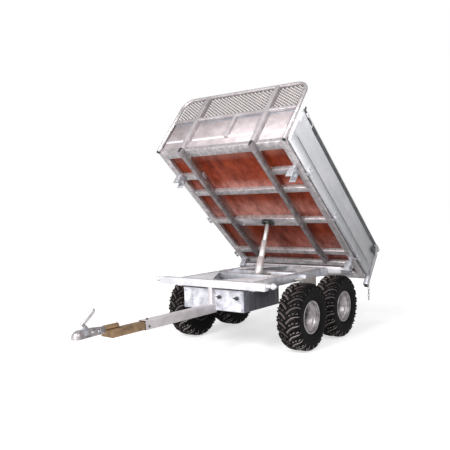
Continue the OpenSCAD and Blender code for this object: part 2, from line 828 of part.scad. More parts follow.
// Slanting strips in a thin rim, behind the loop
module headboard_mesh() {
  reach = 2 * bed_half + head_h;
  color(galvanised) tipped() along_x(head_u - mesh_t, head_u) {
    difference() { mesh_outline(0); mesh_outline(mesh_strip + loop_r / 2); }
    intersection() {
      mesh_outline(1);
      for (y = [-reach:mesh_pitch:reach]) translate([y, w0 + head_rail_h]) rotate(-38) translate([0, -reach / 2])
        square([mesh_strip, reach]);
    }
  }
}

// Rear posts with the ears that the tailgate's pins turn in
module rear_posts() {
  color(galvanised) tipped() pair() difference() {
    union() {
      block([-bed_back, post_in, w1], [post_w - bed_back, bed_half, gate_w - ear_r]);
      block([gate_u - ear_r, ear_in, gate_w - ear_r], [post_w - bed_back, ear_in + ear_t, gate_w + ear_r]);
    }
    translate([gate_u, 0, gate_w]) bar_y(gate_pin_r + hinge_gap, ear_in - 20, ear_in + ear_t + 1);
  }
}

// A side's section, Y outwards from its inner face and Z up from the frame's underside
module side_section() {
  t = side_t;
  g = groove_d;
  difference() {
    polygon([[0, side_low], [t, side_low], [t, groove_h - 18], [t - g, groove_h - 8], [t - g, groove_h + 8],
      [t, groove_h + 18], [t, side_h - rail_top_h], [t + rail_out, side_h - rail_top_h], [t + rail_out, side_h],
      [0, side_h]]);
    s = skin;
    polygon([[s, side_low + s], [t - s, side_low + s], [t - s, groove_h - 19], [t - g - s, groove_h - 9],
      [t - g - s, groove_h + 9], [t - s, groove_h + 19], [t - s, side_h - rail_top_h + s],
      [t + rail_out - s, side_h - rail_top_h + s], [t + rail_out - s, side_h - s], [s, side_h - s]]);
  }
}

// Lugs on the frame's side rails, each with a knuckle and the pin that a side turns on
module side_hinges() {
  half = knuckle_l / 2;
  color(galvanised) tipped() pair() for (u = hinge_us) translate([u, 0, 0]) {
    block([-half, bed_half, w0 + 1], [half, hinge_v, w0 + 7]);
    translate([0, hinge_v, hinge_w]) rotate([0, 90, 0]) {
      cylinder(r = knuckle_r, h = knuckle_l, center = true, $fn = 16);
      cylinder(r = hinge_pin_r, h = 3 * knuckle_l + 10, center = true, $fn = 16);
    }
  }
}

// A closed box of sheet with its hinge leaves, a striker in front and a bolt with its housing at the rear
module drop_side() {
  latch_w = w0 + side_h - rail_top_h;
  latch_out = side_out + rail_out + 20;
  difference() {
    union() {
      translate([0, side_in, w0]) along_x(side_back, side_front) side_section();
      for (u = [side_back, side_front - skin]) block([u, side_in, w0 + side_low], [u + skin, side_out, w0 + side_h]);
      for (u = hinge_us, s = [-1, 1]) translate([u + s * (knuckle_l + 1), 0, 0]) {
        translate([0, hinge_v, hinge_w]) rotate([0, 90, 0]) cylinder(r = knuckle_r, h = knuckle_l, center = true, $fn = 16);
        block([-knuckle_l / 2, side_out, hinge_w], [knuckle_l / 2, hinge_v - 3, hinge_w + 5]);
        block([-knuckle_l / 2, side_out, hinge_w], [knuckle_l / 2, side_out + 4, w0 + side_low + 50]);
      }
      block([side_front - 44, side_out, latch_w - 60], [side_front - 8, side_out + rail_out, latch_w]);
      block([side_back + 6, side_out, latch_w - 74], [side_back + 50, side_out + rail_out, latch_w]);
      block([side_back + 2, side_out + rail_out - 2, latch_w - 34], [side_back + 26, latch_out, latch_w + 34]);
      translate([side_back - 20, latch_out - 9, latch_w + 12]) rotate([0, 90, 0]) cylinder(r = 8, h = 90, $fn = 16);
    }
    translate([0, hinge_v, hinge_w]) rotate([0, 90, 0])
      cylinder(r = hinge_pin_r + hinge_gap, h = 4 * bed_front, center = true, $fn = 16);
  }
}

module side_left() { color(galvanised) tipped() drop_side(); }
module side_right() { color(galvanised) tipped() mirror([0, 1, 0]) drop_side(); }

// Tailgate: a box of sheet between two end tubes, hung on pins at its top
module tailgate() {
  half = side_t / 2;
  inner = ear_in - gate_gap;
  top = gate_w - ear_r - 15;
  color(galvanised) tipped() translate([gate_u, 0, 0]) {
    difference() {
      block([-half, -gate_half + tube_w, w0 + 10], [half, gate_half - tube_w, top]);
      block([skin - half, -gate_half + tube_w - 1, w0 + 10 + skin], [half - skin, gate_half - tube_w + 1, top - skin]);
    }
    pair() block([-half, gate_half - tube_w, w0 - gate_drop], [half, gate_half, top]);
    block([-half, -inner, top], [half, inner, gate_w + 16]);
    pair() translate([0, 0, gate_w]) bar_y(gate_pin_r, inner, ear_in + ear_t + 6);
    translate([0, 0, w0 - gate_drop + 12]) {
      bar_y(chain_pin_r, gate_half, chain_y + chain_wire + 3);
      bar_y(chain_pin_r + 2.5, chain_y + chain_wire + 3, chain_y + chain_wire + 6);
    }
  }
}

// Link of the safety chain, standing along Z
module link() {
  for (s = [-1, 1]) {
    translate([s * chain_bend, 0, -chain_half]) cylinder(r = chain_wire, h = 2 * chain_half, $fn = 13);
    translate([0, 0, s * chain_half]) rotate([s * 90, 0, 0]) rotate_extrude(angle = 180, $fn = 14)
      translate([chain_bend, 0]) circle(r = chain_wire, $fn = 13);
  }
}

// The chain hangs plumb from a pin on the tailgate's left end tube, each link through the last
module safety_chain() {
  u = gate_u;
  w = w0 - gate_drop + 12;
  x = -pivot_back + u * cos(tip_angle) - w * sin(tip_angle);
  z = pivot_z + u * sin(tip_angle) + w * cos(tip_angle);
  first = z + chain_pin_r + chain_gap - chain_half - chain_bend + chain_wire;
  pitch = 2 * (chain_bend + chain_half - chain_wire) - chain_gap;
  color(dark_zinc) for (i = [0:links - 1])
    translate([x, chain_y, first - i * pitch]) rotate([0, 0, i % 2 * 90]) link();
}

// Black plugs under the headboard's bent tube and in the long tubes' front ends
module tube_plugs() {
  color(black) tipped() pair() {
    translate([head_u + loop_r, loop_y, w0 - plug_t]) cylinder(r = loop_r, h = plug_t, $fn = 16);
    block([bed_front, long_a + 4, long_w0 + 4], [bed_front + plug_t, long_b - 4, w0 - 4]);
  }
}

// Black plugs in the lower ends of the tailgate's end tubes
module gate_plugs() {
  low = w0 - gate_drop;
  color(black) tipped() pair() translate([gate_u, 0, 0])
    block([3 - side_t / 2, gate_half - tube_w + 3, low - plug_t], [side_t / 2 - 3, gate_half - 3, low]);
}

placed() chassis_rails();
placed() front_beam();
placed() rear_beam();
placed() cross_members();
placed() corner_plates();
placed() trunnion_hangers();
placed() hydraulic_box();
placed() box_controls();
placed() drawbar();
placed() sliding_bar();
placed() coupler();
placed() coupler_handle();
placed() bogie_brackets();
placed() walking_beams();
placed() stub_axles();
placed() tyre_front_left();
placed() tyre_front_right();
placed() tyre_rear_left();
placed() tyre_rear_right();
placed() rim_front_left();
placed() rim_front_right();
placed() rim_rear_left();
placed() rim_rear_right();
placed() cylinder_barrel();
placed() cylinder_stage_1();
placed() cylinder_stage_2();
placed() cylinder_stage_3();
placed() bed_side_rails();
placed() bed_long_tubes();
placed() bed_cross_tubes();
placed() bed_end_beams();
placed() bed_outriggers();
placed() pivot_sockets();
placed() head_socket();
placed() floor_board();
placed() headboard_loop();
placed() headboard_posts();
placed() headboard_sheet();
placed() headboard_mesh();
placed() rear_posts();
placed() side_hinges();
placed() side_left();
placed() side_right();
placed() tailgate();
placed() safety_chain();
placed() tube_plugs();
placed() gate_plugs();
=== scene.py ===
import math

import bmesh
import bpy
from mathutils import Matrix, Vector


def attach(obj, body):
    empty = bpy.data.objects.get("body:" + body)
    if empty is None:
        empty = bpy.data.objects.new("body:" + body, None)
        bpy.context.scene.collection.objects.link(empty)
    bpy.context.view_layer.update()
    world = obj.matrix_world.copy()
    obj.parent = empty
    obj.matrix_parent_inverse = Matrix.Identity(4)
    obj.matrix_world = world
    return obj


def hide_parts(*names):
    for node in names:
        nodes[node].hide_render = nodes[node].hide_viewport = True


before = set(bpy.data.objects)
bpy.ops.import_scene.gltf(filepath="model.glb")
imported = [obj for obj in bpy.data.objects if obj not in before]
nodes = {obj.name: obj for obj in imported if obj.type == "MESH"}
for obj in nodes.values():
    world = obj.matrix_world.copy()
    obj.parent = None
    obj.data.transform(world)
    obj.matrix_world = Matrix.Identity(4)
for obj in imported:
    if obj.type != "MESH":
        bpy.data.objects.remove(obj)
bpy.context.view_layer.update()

# Camera and studio. The trailer stands on a white floor before a white wall, under soft lamps:
# a large one above its drawbar, a weaker one along the left side and a low one that reaches
# the underside of the raised bed.
camera_data = bpy.data.cameras.new("camera")
camera_data.sensor_width = 36
camera_data.lens = 46.766
camera = bpy.data.objects.new("camera", camera_data)
bpy.context.scene.collection.objects.link(camera)
yaw, pitch, roll = (math.radians(a) for a in (216.5992, -1.7247, -1.3319))
ahead = Vector((math.cos(yaw) * math.cos(pitch), math.sin(yaw) * math.cos(pitch), math.sin(pitch)))
level = ahead.cross(Vector((0, 0, 1))).normalized()
above = level.cross(ahead)
right = level * math.cos(roll) + above * math.sin(roll)
up = above * math.cos(roll) - level * math.sin(roll)
camera.matrix_world = Matrix.Translation((3.9844, 2.9497, 1.1968)) @ Matrix((right, up, -ahead)).transposed().to_4x4()
bpy.context.scene.camera = camera
bpy.context.scene.view_settings.view_transform = "Standard"


def area_lamp(name, place, aim, size, watts):
    data = bpy.data.lights.new(name, "AREA")
    data.shape = "DISK"
    data.size = size
    data.energy = watts
    lamp = bpy.data.objects.new(name, data)
    lamp.location = place
    lamp.rotation_euler = (Vector(aim) - Vector(place)).to_track_quat("-Z", "Y").to_euler()
    bpy.context.scene.collection.objects.link(lamp)


area_lamp("key_lamp", (5.0, 0.0, 3.9), (0, 0, 0.9), 2.2, 330)
area_lamp("side_lamp", (1.9, 3.1, 3.3), (0.3, 0.6, 1.9), 1.6, 108)
area_lamp("under_lamp", (3.6, 0.3, 0.8), (0, 0, 1.5), 1.2, 40)


def link_math(tree, kind, one, two):
    """Math node on two values, each a socket or a plain number."""
    node = tree.nodes.new("ShaderNodeMath")
    node.operation = kind
    for spot, value in enumerate((one, two)):
        if isinstance(value, (int, float)):
            node.inputs[spot].default_value = value
        else:
            tree.links.new(value, node.inputs[spot])
    return node.outputs[0]


def white_room(lit, mirrored):
    """World that lights gently, and shows white to the camera and pale in reflections."""
    world = bpy.data.worlds.new("studio")
    world.use_nodes = True
    bpy.context.scene.world = world
    tree = world.node_tree
    glow = tree.nodes["Background"]
    glow.inputs["Color"].default_value = (1, 1, 1, 1)
    paths = tree.nodes.new("ShaderNodeLightPath")
    seen = link_math(tree, "MAXIMUM", paths.outputs["Is Camera Ray"], paths.outputs["Is Transmission Ray"])
    gloss = link_math(tree, "MULTIPLY", paths.outputs["Is Glossy Ray"], mirrored)
    total = link_math(tree, "MAXIMUM", link_math(tree, "MAXIMUM", seen, gloss), lit)
    tree.links.new(total, glow.inputs["Strength"])


white_room(0.25, 0.42)


def studio_floor(near, far):
    """White floor, lifted for the camera alone: little under the trailer, fully far away."""
    mesh = bpy.data.meshes.new("studio_floor")
    mesh.from_pydata([(-30, -30, 0), (30, -30, 0), (30, 30, 0), (-30, 30, 0)], [], [(0, 1, 2, 3)])
    floor = bpy.data.objects.new("studio_floor", mesh)
    bpy.context.scene.collection.objects.link(floor)
    paint = bpy.data.materials.new("studio_floor")
    paint.use_nodes = True
    tree = paint.node_tree
    face = tree.nodes["Principled BSDF"]
    face.inputs["Base Color"].default_value = (0.55, 0.55, 0.55, 1)
    face.inputs["Roughness"].default_value = 0.9
    face.inputs["Emission Color"].default_value = (1, 1, 1, 1)
    paths = tree.nodes.new("ShaderNodeLightPath")
    place = tree.nodes.new("ShaderNodeTexCoord")
    reach = tree.nodes.new("ShaderNodeVectorMath")
    reach.operation = "LENGTH"
    tree.links.new(place.outputs["Object"], reach.inputs[0])
    lift = tree.nodes.new("ShaderNodeMapRange")
    lift.interpolation_type = "SMOOTHSTEP"
    for label, value in (("From Min", 1.2), ("From Max", 4.5), ("To Min", near), ("To Max", far)):
        lift.inputs[label].default_value = value
    tree.links.new(reach.outputs["Value"], lift.inputs["Value"])
    seen = link_math(tree, "MULTIPLY", link_math(
        tree, "ADD", paths.outputs["Is Camera Ray"], link_math(tree, "MULTIPLY", paths.outputs["Is Glossy Ray"], 0.6)),
        lift.outputs["Result"])
    tree.links.new(seen, face.inputs["Emission Strength"])
    mesh.materials.append(paint)


studio_floor(0.62, 0.95)

# Chassis: rails, end beams and cross members of square steel tube, welded into a ladder and
# dipped whole in zinc. The zinc sets in pale crystals with grey clouds, and the dip rounds
# every edge. The end beams carry a pin and a ball at each end for the bed's sockets. MID is the
# x of the frame's origin, counted from the pins of the walking beams.


def group_shell(name, inputs, outputs):
    """Empty shader node group with named sockets and its two end nodes."""
    group = bpy.data.node_groups.new(name, "ShaderNodeTree")
    for label, kind, value in inputs:
        socket = group.interface.new_socket(label, in_out="INPUT", socket_type=kind)
        socket.default_value = value
    for label, kind in outputs:
        group.interface.new_socket(label, in_out="OUTPUT", socket_type=kind)
    return group, group.nodes.new("NodeGroupInput"), group.nodes.new("NodeGroupOutput")


def zinc_bloom():
    """Colour, roughness and height of a zinc coat: crystals, clouds, runs and dark specks."""
    group, given, result = group_shell(
        "zinc_bloom",
        (("Pale", "NodeSocketColor", (0.8, 0.8, 0.83, 1)), ("Grey", "NodeSocketColor", (0.6, 0.61, 0.64, 1)),
         ("Crystal", "NodeSocketFloat", 60.0), ("Patch", "NodeSocketFloat", 3.0), ("Run", "NodeSocketFloat", 1.0),
         ("Smooth", "NodeSocketFloat", 0.34), ("Rough", "NodeSocketFloat", 0.5)),
        (("Color", "NodeSocketColor"), ("Roughness", "NodeSocketFloat"), ("Height", "NodeSocketFloat")))
    node, link = group.nodes.new, group.links.new
    place = node("ShaderNodeTexCoord")
    crystals = node("ShaderNodeTexVoronoi")
    link(place.outputs["Object"], crystals.inputs["Vector"])
    link(given.outputs["Crystal"], crystals.inputs["Scale"])
    stretch = node("ShaderNodeCombineXYZ")
    stretch.inputs[0].default_value = 1
    stretch.inputs[1].default_value = 1
    link(given.outputs["Run"], stretch.inputs[2])
    drawn = node("ShaderNodeVectorMath")
    drawn.operation = "MULTIPLY"
    link(place.outputs["Object"], drawn.inputs[0])
    link(stretch.outputs[0], drawn.inputs[1])
    clouds = node("ShaderNodeTexNoise")
    clouds.inputs["Detail"].default_value = 6
    clouds.inputs["Distortion"].default_value = 0.8
    link(drawn.outputs[0], clouds.inputs["Vector"])
    link(given.outputs["Patch"], clouds.inputs["Scale"])
    grey_level = node("ShaderNodeRGBToBW")
    link(crystals.outputs["Color"], grey_level.inputs[0])
    sparkle = node("ShaderNodeMapRange")
    sparkle.inputs["To Min"].default_value = -0.16
    sparkle.inputs["To Max"].default_value = 0.16
    link(grey_level.outputs[0], sparkle.inputs["Value"])
    spread = node("ShaderNodeMapRange")
    spread.inputs["From Min"].default_value = 0.32
    spread.inputs["From Max"].default_value = 0.68
    link(clouds.outputs["Fac"], spread.inputs["Value"])
    total = node("ShaderNodeMath")
    total.operation = "ADD"
    total.use_clamp = True
    link(spread.outputs["Result"], total.inputs[0])
    link(sparkle.outputs["Result"], total.inputs[1])
    colour = node("ShaderNodeMix")
    colour.data_type = "RGBA"
    link(total.outputs[0], colour.inputs["Factor"])
    link(given.outputs["Pale"], colour.inputs["A"])
    link(given.outputs["Grey"], colour.inputs["B"])
    link(colour.outputs["Result"], result.inputs["Color"])
    rough = node("ShaderNodeMix")
    link(total.outputs[0], rough.inputs["Factor"])
    link(given.outputs["Smooth"], rough.inputs["A"])
    link(given.outputs["Rough"], rough.inputs["B"])
    link(rough.outputs["Result"], result.inputs["Roughness"])
    link(total.outputs[0], result.inputs["Height"])
    return group


ZINC_BLOOM = zinc_bloom()


def zinc_coat(name, pale, grey, crystal=70, patch=5.0, run=1.0, smooth=0.36, rough=0.55, metal=0.7, relief=0.0004):
    """Material of one zinc-coated or metal-painted finish."""
    coat = bpy.data.materials.new(name)
    coat.use_nodes = True
    tree = coat.node_tree
    face = tree.nodes["Principled BSDF"]
    face.inputs["Metallic"].default_value = metal
    bloom = tree.nodes.new("ShaderNodeGroup")
    bloom.node_tree = ZINC_BLOOM
    for label, value in (("Pale", (*pale, 1)), ("Grey", (*grey, 1)), ("Crystal", crystal), ("Patch", patch),
                         ("Run", run), ("Smooth", smooth), ("Rough", rough)):
        bloom.inputs[label].default_value = value
    bump = tree.nodes.new("ShaderNodeBump")
    bump.inputs["Distance"].default_value = relief
    bump.inputs["Strength"].default_value = 0.6
    tree.links.new(bloom.outputs["Color"], face.inputs["Base Color"])
    tree.links.new(bloom.outputs["Roughness"], face.inputs["Roughness"])
    tree.links.new(bloom.outputs["Height"], bump.inputs["Height"])
    tree.links.new(bump.outputs["Normal"], face.inputs["Normal"])
    return coat


def dress(names, material, edge=0.0):
    """Finish on CAD nodes: material, clean shading and, where edge is given, rounded edges."""
    for name in names:
        piece = nodes[name]
        mesh = piece.data
        mesh.materials.clear()
        mesh.materials.append(material)
        with bpy.context.temp_override(object=piece, active_object=piece, selected_objects=[piece]):
            bpy.ops.mesh.customdata_custom_splitnormals_clear()
        mesh.polygons.foreach_set("use_smooth", [True] * len(mesh.polygons))
        weld = piece.modifiers.new("weld", "WELD")
        weld.merge_threshold = 0.00002
        if edge:
            flat = piece.modifiers.new("flat", "DECIMATE")
            flat.decimate_type = "DISSOLVE"
            flat.angle_limit = math.radians(1)
            bevel = piece.modifiers.new("edge", "BEVEL")
            bevel.width = edge
            bevel.segments = 2
            bevel.limit_method = "ANGLE"
            bevel.angle_limit = math.radians(40)
            bevel.harden_normals = False
            bevel.use_clamp_overlap = True


galvanised = zinc_coat("galvanised", (0.76, 0.76, 0.80), (0.46, 0.47, 0.51), patch=9)
white_zinc = zinc_coat("white_zinc", (0.90, 0.90, 0.93), (0.66, 0.67, 0.71), patch=4, smooth=0.4, rough=0.6, metal=0.4)
dress(["chassis_rails", "cross_members"], galvanised, 0.003)
beam_zinc = zinc_coat("beam_zinc", (0.72, 0.71, 0.74), (0.54, 0.53, 0.56), patch=6, smooth=0.45, rough=0.6, metal=0.35)
dress(["front_beam", "rear_beam"], beam_zinc, 0.003)
MID = 0.562031
RAIL_IN, RAIL_OUT, FRAME_TOP = 0.35, 0.40, 0.60


def fixed_piece(name, shape, material, body, crease=35):
    """Finished mesh from a bmesh, riding on a body."""
    mesh = bpy.data.meshes.new(name)
    bmesh.ops.recalc_face_normals(shape, faces=shape.faces)
    shape.to_mesh(mesh)
    shape.free()
    mesh.materials.append(material)
    mesh.polygons.foreach_set("use_smooth", [True] * len(mesh.polygons))
    mesh.set_sharp_from_angle(angle=math.radians(crease))
    piece = bpy.data.objects.new(name, mesh)
    bpy.context.scene.collection.objects.link(piece)
    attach(piece, body)
    return piece


def ring(shape, place, turn, radius, height, count):
    """Circle of points round a line that starts at place: height along it, radius from it."""
    return [shape.verts.new(place + turn @ Vector((radius * math.cos(2 * math.pi * k / count),
                                                   radius * math.sin(2 * math.pi * k / count), height)))
            for k in range(count)]


def skin(shape, rings, closed=True, ends=True):
    """Faces from each row of points to the next; closed joins a row's ends, ends caps both rows."""
    for low, high in zip(rings, rings[1:]):
        for k in range(0 if closed else 1, len(low)):
            shape.faces.new((low[k - 1], low[k], high[k], high[k - 1]))
    if ends:
        shape.faces.new(rings[-1])
        shape.faces.new(reversed(rings[0]))


def bead(shape, a, b, size=0.0035):
    """One run of weld from a to b, with the ripples of its pools."""
    a, b = Vector(a), Vector(b)
    line = b - a
    turn = line.to_track_quat("Z", "Y").to_matrix()
    ripple = 0.0035
    steps = max(4, int(line.length / ripple))
    rings = []
    for i in range(steps + 1):
        swell = size * (0.78 + 0.3 * abs(math.sin(i * 1.3))) * (0.5 if i in (0, steps) else 1)
        rings.append(ring(shape, a + line * (i / steps), turn, swell, 0, 6))
    skin(shape, rings)


def chassis_welds():
    """Runs round each joint of the ladder frame: rails to end beams, cross members to rails."""
    shape = bmesh.new()
    for side in (-1, 1):
        for x in (0.746, -0.520):
            for y in (RAIL_IN, RAIL_OUT):
                bead(shape, (x - MID, side * y, 0.534), (x - MID, side * y, 0.598))
            bead(shape, (x - MID, side * (RAIL_IN + 0.002), FRAME_TOP), (x - MID, side * (RAIL_OUT - 0.002), FRAME_TOP))
        for x in (-0.067, -0.022, 0.198, 0.243):
            bead(shape, (x - MID, side * RAIL_IN, 0.532), (x - MID, side * RAIL_IN, 0.592))
        for x0, x1 in ((-0.065, -0.024), (0.2, 0.241)):
            bead(shape, (x0 - MID, side * RAIL_IN, 0.595), (x1 - MID, side * RAIL_IN, 0.595))
    fixed_piece("chassis_welds", shape, galvanised, "chassis", 60)


chassis_welds()

# Corner plates: flat steel triangles that brace the ladder frame's four corners, and the yellow
# passivated plates that hang the cylinder's trunnion between the cross members.
dull_zinc = zinc_coat("dull_zinc", (0.50, 0.51, 0.55), (0.30, 0.31, 0.35), rough=0.6)
yellow_zinc = zinc_coat("yellow_zinc", (0.40, 0.265, 0.15), (0.20, 0.13, 0.08), crystal=40, patch=14, smooth=0.34,
                        rough=0.55)
dress(["corner_plates"], white_zinc, 0.001)
dress(["trunnion_hangers"], yellow_zinc, 0.001)


def bolt(shape, place, aim, across=0.013, head=0.008, washer=0.010):
    """Hexagon bolt head on its washer, standing on a face whose outward direction is aim."""
    turn = Vector(aim).to_track_quat("Z", "Y").to_matrix()
    thin = 0.0018
    for count, foot, top, low, high in ((20, washer, washer, 0, thin),
                                        (6, across / 2 / 0.866, across / 2 / 0.9, thin, head)):
        skin(shape, [ring(shape, Vector(place), turn, radius, height, count) for radius, height in (
            (foot, low), (foot, high * 0.8 + low * 0.2), (top * 0.93, high))])


def plate_bolts():
    """Bolts through the corner plates, and those of the trunnion's hangers."""
    shape = bmesh.new()
    for side in (-1, 1):
        for x, y in ((0.71, 0.30), (0.71, 0.10), (0.42, 0.325), (-0.48, 0.30), (-0.48, 0.12), (-0.30, 0.325)):
            bolt(shape, (x - MID, side * y, FRAME_TOP), (0, 0, 1))
        for x in (0.0, 0.176):
            bolt(shape, (x - MID, side * 0.068, 0.555), (0, side, 0))
    fixed_piece("plate_bolts", shape, dull_zinc, "chassis")


plate_bolts()

# Hydraulic box: a folded sheet box between the rails, with its reservoir and pump inside. It is
# bolted under the front of the frame; rain streaks its sides. Two black lever valves stick out.
streaked_zinc = zinc_coat("streaked_zinc", (0.32, 0.32, 0.36), (0.12, 0.12, 0.145), crystal=90, patch=26, run=0.1,
                          smooth=0.38, rough=0.6)
dress(["hydraulic_box"], streaked_zinc, 0.003)
black_plastic = bpy.data.materials.new("black_plastic")


def moulded(material, dark, pale, rough):
    """Moulded plastic: fine orange-peel and slight fading, from noise in two sizes."""
    material.use_nodes = True
    tree = material.node_tree
    face = tree.nodes["Principled BSDF"]
    place = tree.nodes.new("ShaderNodeTexCoord")
    fade = tree.nodes.new("ShaderNodeTexNoise")
    fade.inputs["Scale"].default_value = 30
    fine = tree.nodes.new("ShaderNodeTexNoise")
    fine.inputs["Scale"].default_value = 700
    colour = tree.nodes.new("ShaderNodeMix")
    colour.data_type = "RGBA"
    colour.inputs["A"].default_value = (*dark, 1)
    colour.inputs["B"].default_value = (*pale, 1)
    bump = tree.nodes.new("ShaderNodeBump")
    bump.inputs["Distance"].default_value = 0.0002
    bump.inputs["Strength"].default_value = 0.4
    face.inputs["Roughness"].default_value = rough
    for noise in (fade, fine):
        tree.links.new(place.outputs["Object"], noise.inputs["Vector"])
    tree.links.new(fade.outputs["Fac"], colour.inputs["Factor"])
    tree.links.new(colour.outputs["Result"], face.inputs["Base Color"])
    tree.links.new(fine.outputs["Fac"], bump.inputs["Height"])
    tree.links.new(bump.outputs["Normal"], face.inputs["Normal"])


moulded(black_plastic, (0.012, 0.012, 0.014), (0.035, 0.034, 0.036), 0.45)
dress(["box_controls", "tube_plugs", "gate_plugs"], black_plastic, 0.001)
BOX_X = 0.764 - MID


def slab(shape, low, high, soft=0.0):
    """Box between two corners, its edges rounded by soft."""
    made = bmesh.ops.create_cube(shape, size=1)["verts"]
    low, high = Vector(low), Vector(high)
    for vert in made:
        vert.co = Vector(low[i] + (vert.co[i] + 0.5) * (high[i] - low[i]) for i in range(3))
    if soft:
        edges = list({edge for vert in made for edge in vert.link_edges})
        bmesh.ops.bevel(shape, geom=edges, offset=soft, segments=2, affect="EDGES")


blotched_zinc = zinc_coat("blotched_zinc", (0.78, 0.78, 0.84), (0.24, 0.24, 0.28), crystal=110, patch=7, smooth=0.4,
                          rough=0.6, metal=0.4)


def box_front():
    """Bright cover plate let onto the box's front, the lid's folded lip above it and its bolts."""
    shape = bmesh.new()
    sunk, cover = BOX_X - 0.0005, BOX_X + 0.0016
    slab(shape, (sunk, -0.308, 0.358), (cover, 0.308, 0.514), 0.0007)
    slab(shape, (sunk, -0.311, 0.514), (BOX_X + 0.005, 0.311, 0.529), 0.0015)
    fixed_piece("box_front_plate", shape, blotched_zinc, "chassis")
    marks = bmesh.new()
    for y, z in ((-0.29, 0.375), (-0.29, 0.500), (0.29, 0.375), (0.29, 0.500), (-0.10, 0.375), (0.10, 0.368),
                 (-0.215, 0.455), (-0.215, 0.430), (0.025, 0.50)):
        bolt(marks, (cover, y, z), (1, 0, 0), 0.010, 0.006, 0.008)
    for y in (0.08, 0.252):
        bolt(marks, (cover, y, 0.47), (1, 0, 0), 0.026, 0.010, 0.019)
    for side in (-1, 1):
        for x in (0.30, 0.50, 0.70):
            bolt(marks, (x - MID, side * 0.311, 0.512), (0, side, 0), 0.010, 0.006, 0.008)
    fixed_piece("box_bolts", marks, dull_zinc, "chassis")


box_front()

# Drawbar: a square tube welded through the box's front, with a brown passivated bar that slides
# in its mouth and a bolt that locks it. A round sleeve on that bar carries the coupler's shaft.
bar_zinc = zinc_coat("bar_zinc", (0.60, 0.56, 0.58), (0.46, 0.43, 0.44), patch=8, smooth=0.45, rough=0.6, metal=0.4)
dress(["drawbar"], bar_zinc, 0.004)
dress(["sliding_bar"], yellow_zinc, 0.002)


def drawbar_fittings():
    """Lock bolts of the sliding bar, and the welds at the box, the post and the sleeve."""
    marks = bmesh.new()
    for side in (-1, 1):
        bolt(marks, (1.552 - MID, side * 0.034, 0.362), (0, side, 0), 0.012, 0.007, 0.009)
    bolt(marks, (1.54 - MID, 0, 0.407), (0, 0, 1), 0.015, 0.010, 0.012)
    fixed_piece("drawbar_bolts", marks, black_plastic, "chassis")
    runs = bmesh.new()
    x = BOX_X + 0.003
    for side in (-1, 1):
        bead(runs, (x, side * 0.034, 0.345), (x, side * 0.034, 0.405), 0.004)
        bead(runs, (x, side * 0.02, 0.408), (x, side * 0.02, 0.54), 0.003)
    bead(runs, (x, -0.03, 0.407), (x, 0.03, 0.407), 0.004)
    fixed_piece("drawbar_welds", runs, galvanised, "chassis", 60)
    brown = bmesh.new()
    for side in (-1, 1):
        bead(brown, (1.83 - MID, side * 0.012, 0.3995), (1.944 - MID, side * 0.012, 0.3995), 0.003)
    fixed_piece("sleeve_welds", brown, yellow_zinc, "chassis", 60)


drawbar_fittings()

# Coupler: pressed steel, bright zinc, with a cranked handle that locks its jaw under the ball.
bright_zinc = zinc_coat("bright_zinc", (0.66, 0.63, 0.65), (0.32, 0.30, 0.32), crystal=140, patch=18, smooth=0.24,
                        rough=0.42)
worn_zinc = zinc_coat("worn_zinc", (0.48, 0.445, 0.455), (0.14, 0.125, 0.13), crystal=120, patch=34, smooth=0.34,
                      rough=0.5, metal=0.6)
dress(["coupler", "coupler_handle"], worn_zinc, 0.002)
handle_zinc = zinc_coat("handle_zinc", (0.66, 0.64, 0.65), (0.46, 0.44, 0.45), crystal=120, patch=20, smooth=0.4,
                        rough=0.55, metal=0.4)


def coupler_fittings():
    """Through bolts of the coupler, its wear lip and the pressed sleeve of its handle."""
    marks = bmesh.new()
    for x, z in ((2.01, 0.41), (2.06, 0.413)):
        for side in (-1, 1):
            bolt(marks, (x - MID, side * 0.023, z), (0, side, 0), 0.013, 0.008, 0.010)
    slab(marks, (2.075 - MID, -0.016, 0.4365), (2.118 - MID, 0.016, 0.4445), 0.003)
    slab(marks, (2.10 - MID, -0.024, 0.398), (2.13 - MID, 0.024, 0.4365), 0.004)
    fixed_piece("coupler_bolts", marks, dull_zinc, "chassis")
    grip = bmesh.new()
    low, high = Vector((2.1200 - MID, 0, 0.4780)), Vector((2.0325 - MID, 0, 0.5488))
    turn = (high - low).to_track_quat("Z", "Y").to_matrix()
    squared = [[math.copysign(abs(wave) ** 0.6, wave) for wave in (math.cos(turned), math.sin(turned))]
               for turned in (k * math.pi / 8 for k in range(16))]
    rings = []
    for share, wide, thick in ((0, 0.010, 0.010), (0.06, 0.0145, 0.0122), (0.5, 0.017, 0.0125), (0.95, 0.0165, 0.0122),
                               (1.03, 0.013, 0.010), (1.06, 0.007, 0.006)):
        middle = low.lerp(high, share)
        rings.append([grip.verts.new(middle + turn @ Vector((thick * a, wide * b, 0))) for a, b in squared])
    skin(grip, rings)
    fixed_piece("handle_grip", grip, handle_zinc, "chassis", 50)


coupler_fittings()

# Running gear: brackets under the rails, each with a flat plate bolted over it, a walking beam on
# each side that rocks on its pin, and a stub axle at each end of the beam.
dress(["bogie_brackets"], galvanised, 0.002)
dress(["walking_beams"], streaked_zinc, 0.003)
dress(["stub_axles"], bright_zinc)
warm_zinc = zinc_coat("warm_zinc", (0.62, 0.58, 0.55), (0.42, 0.39, 0.37), crystal=80, patch=14, rough=0.6, metal=0.4)


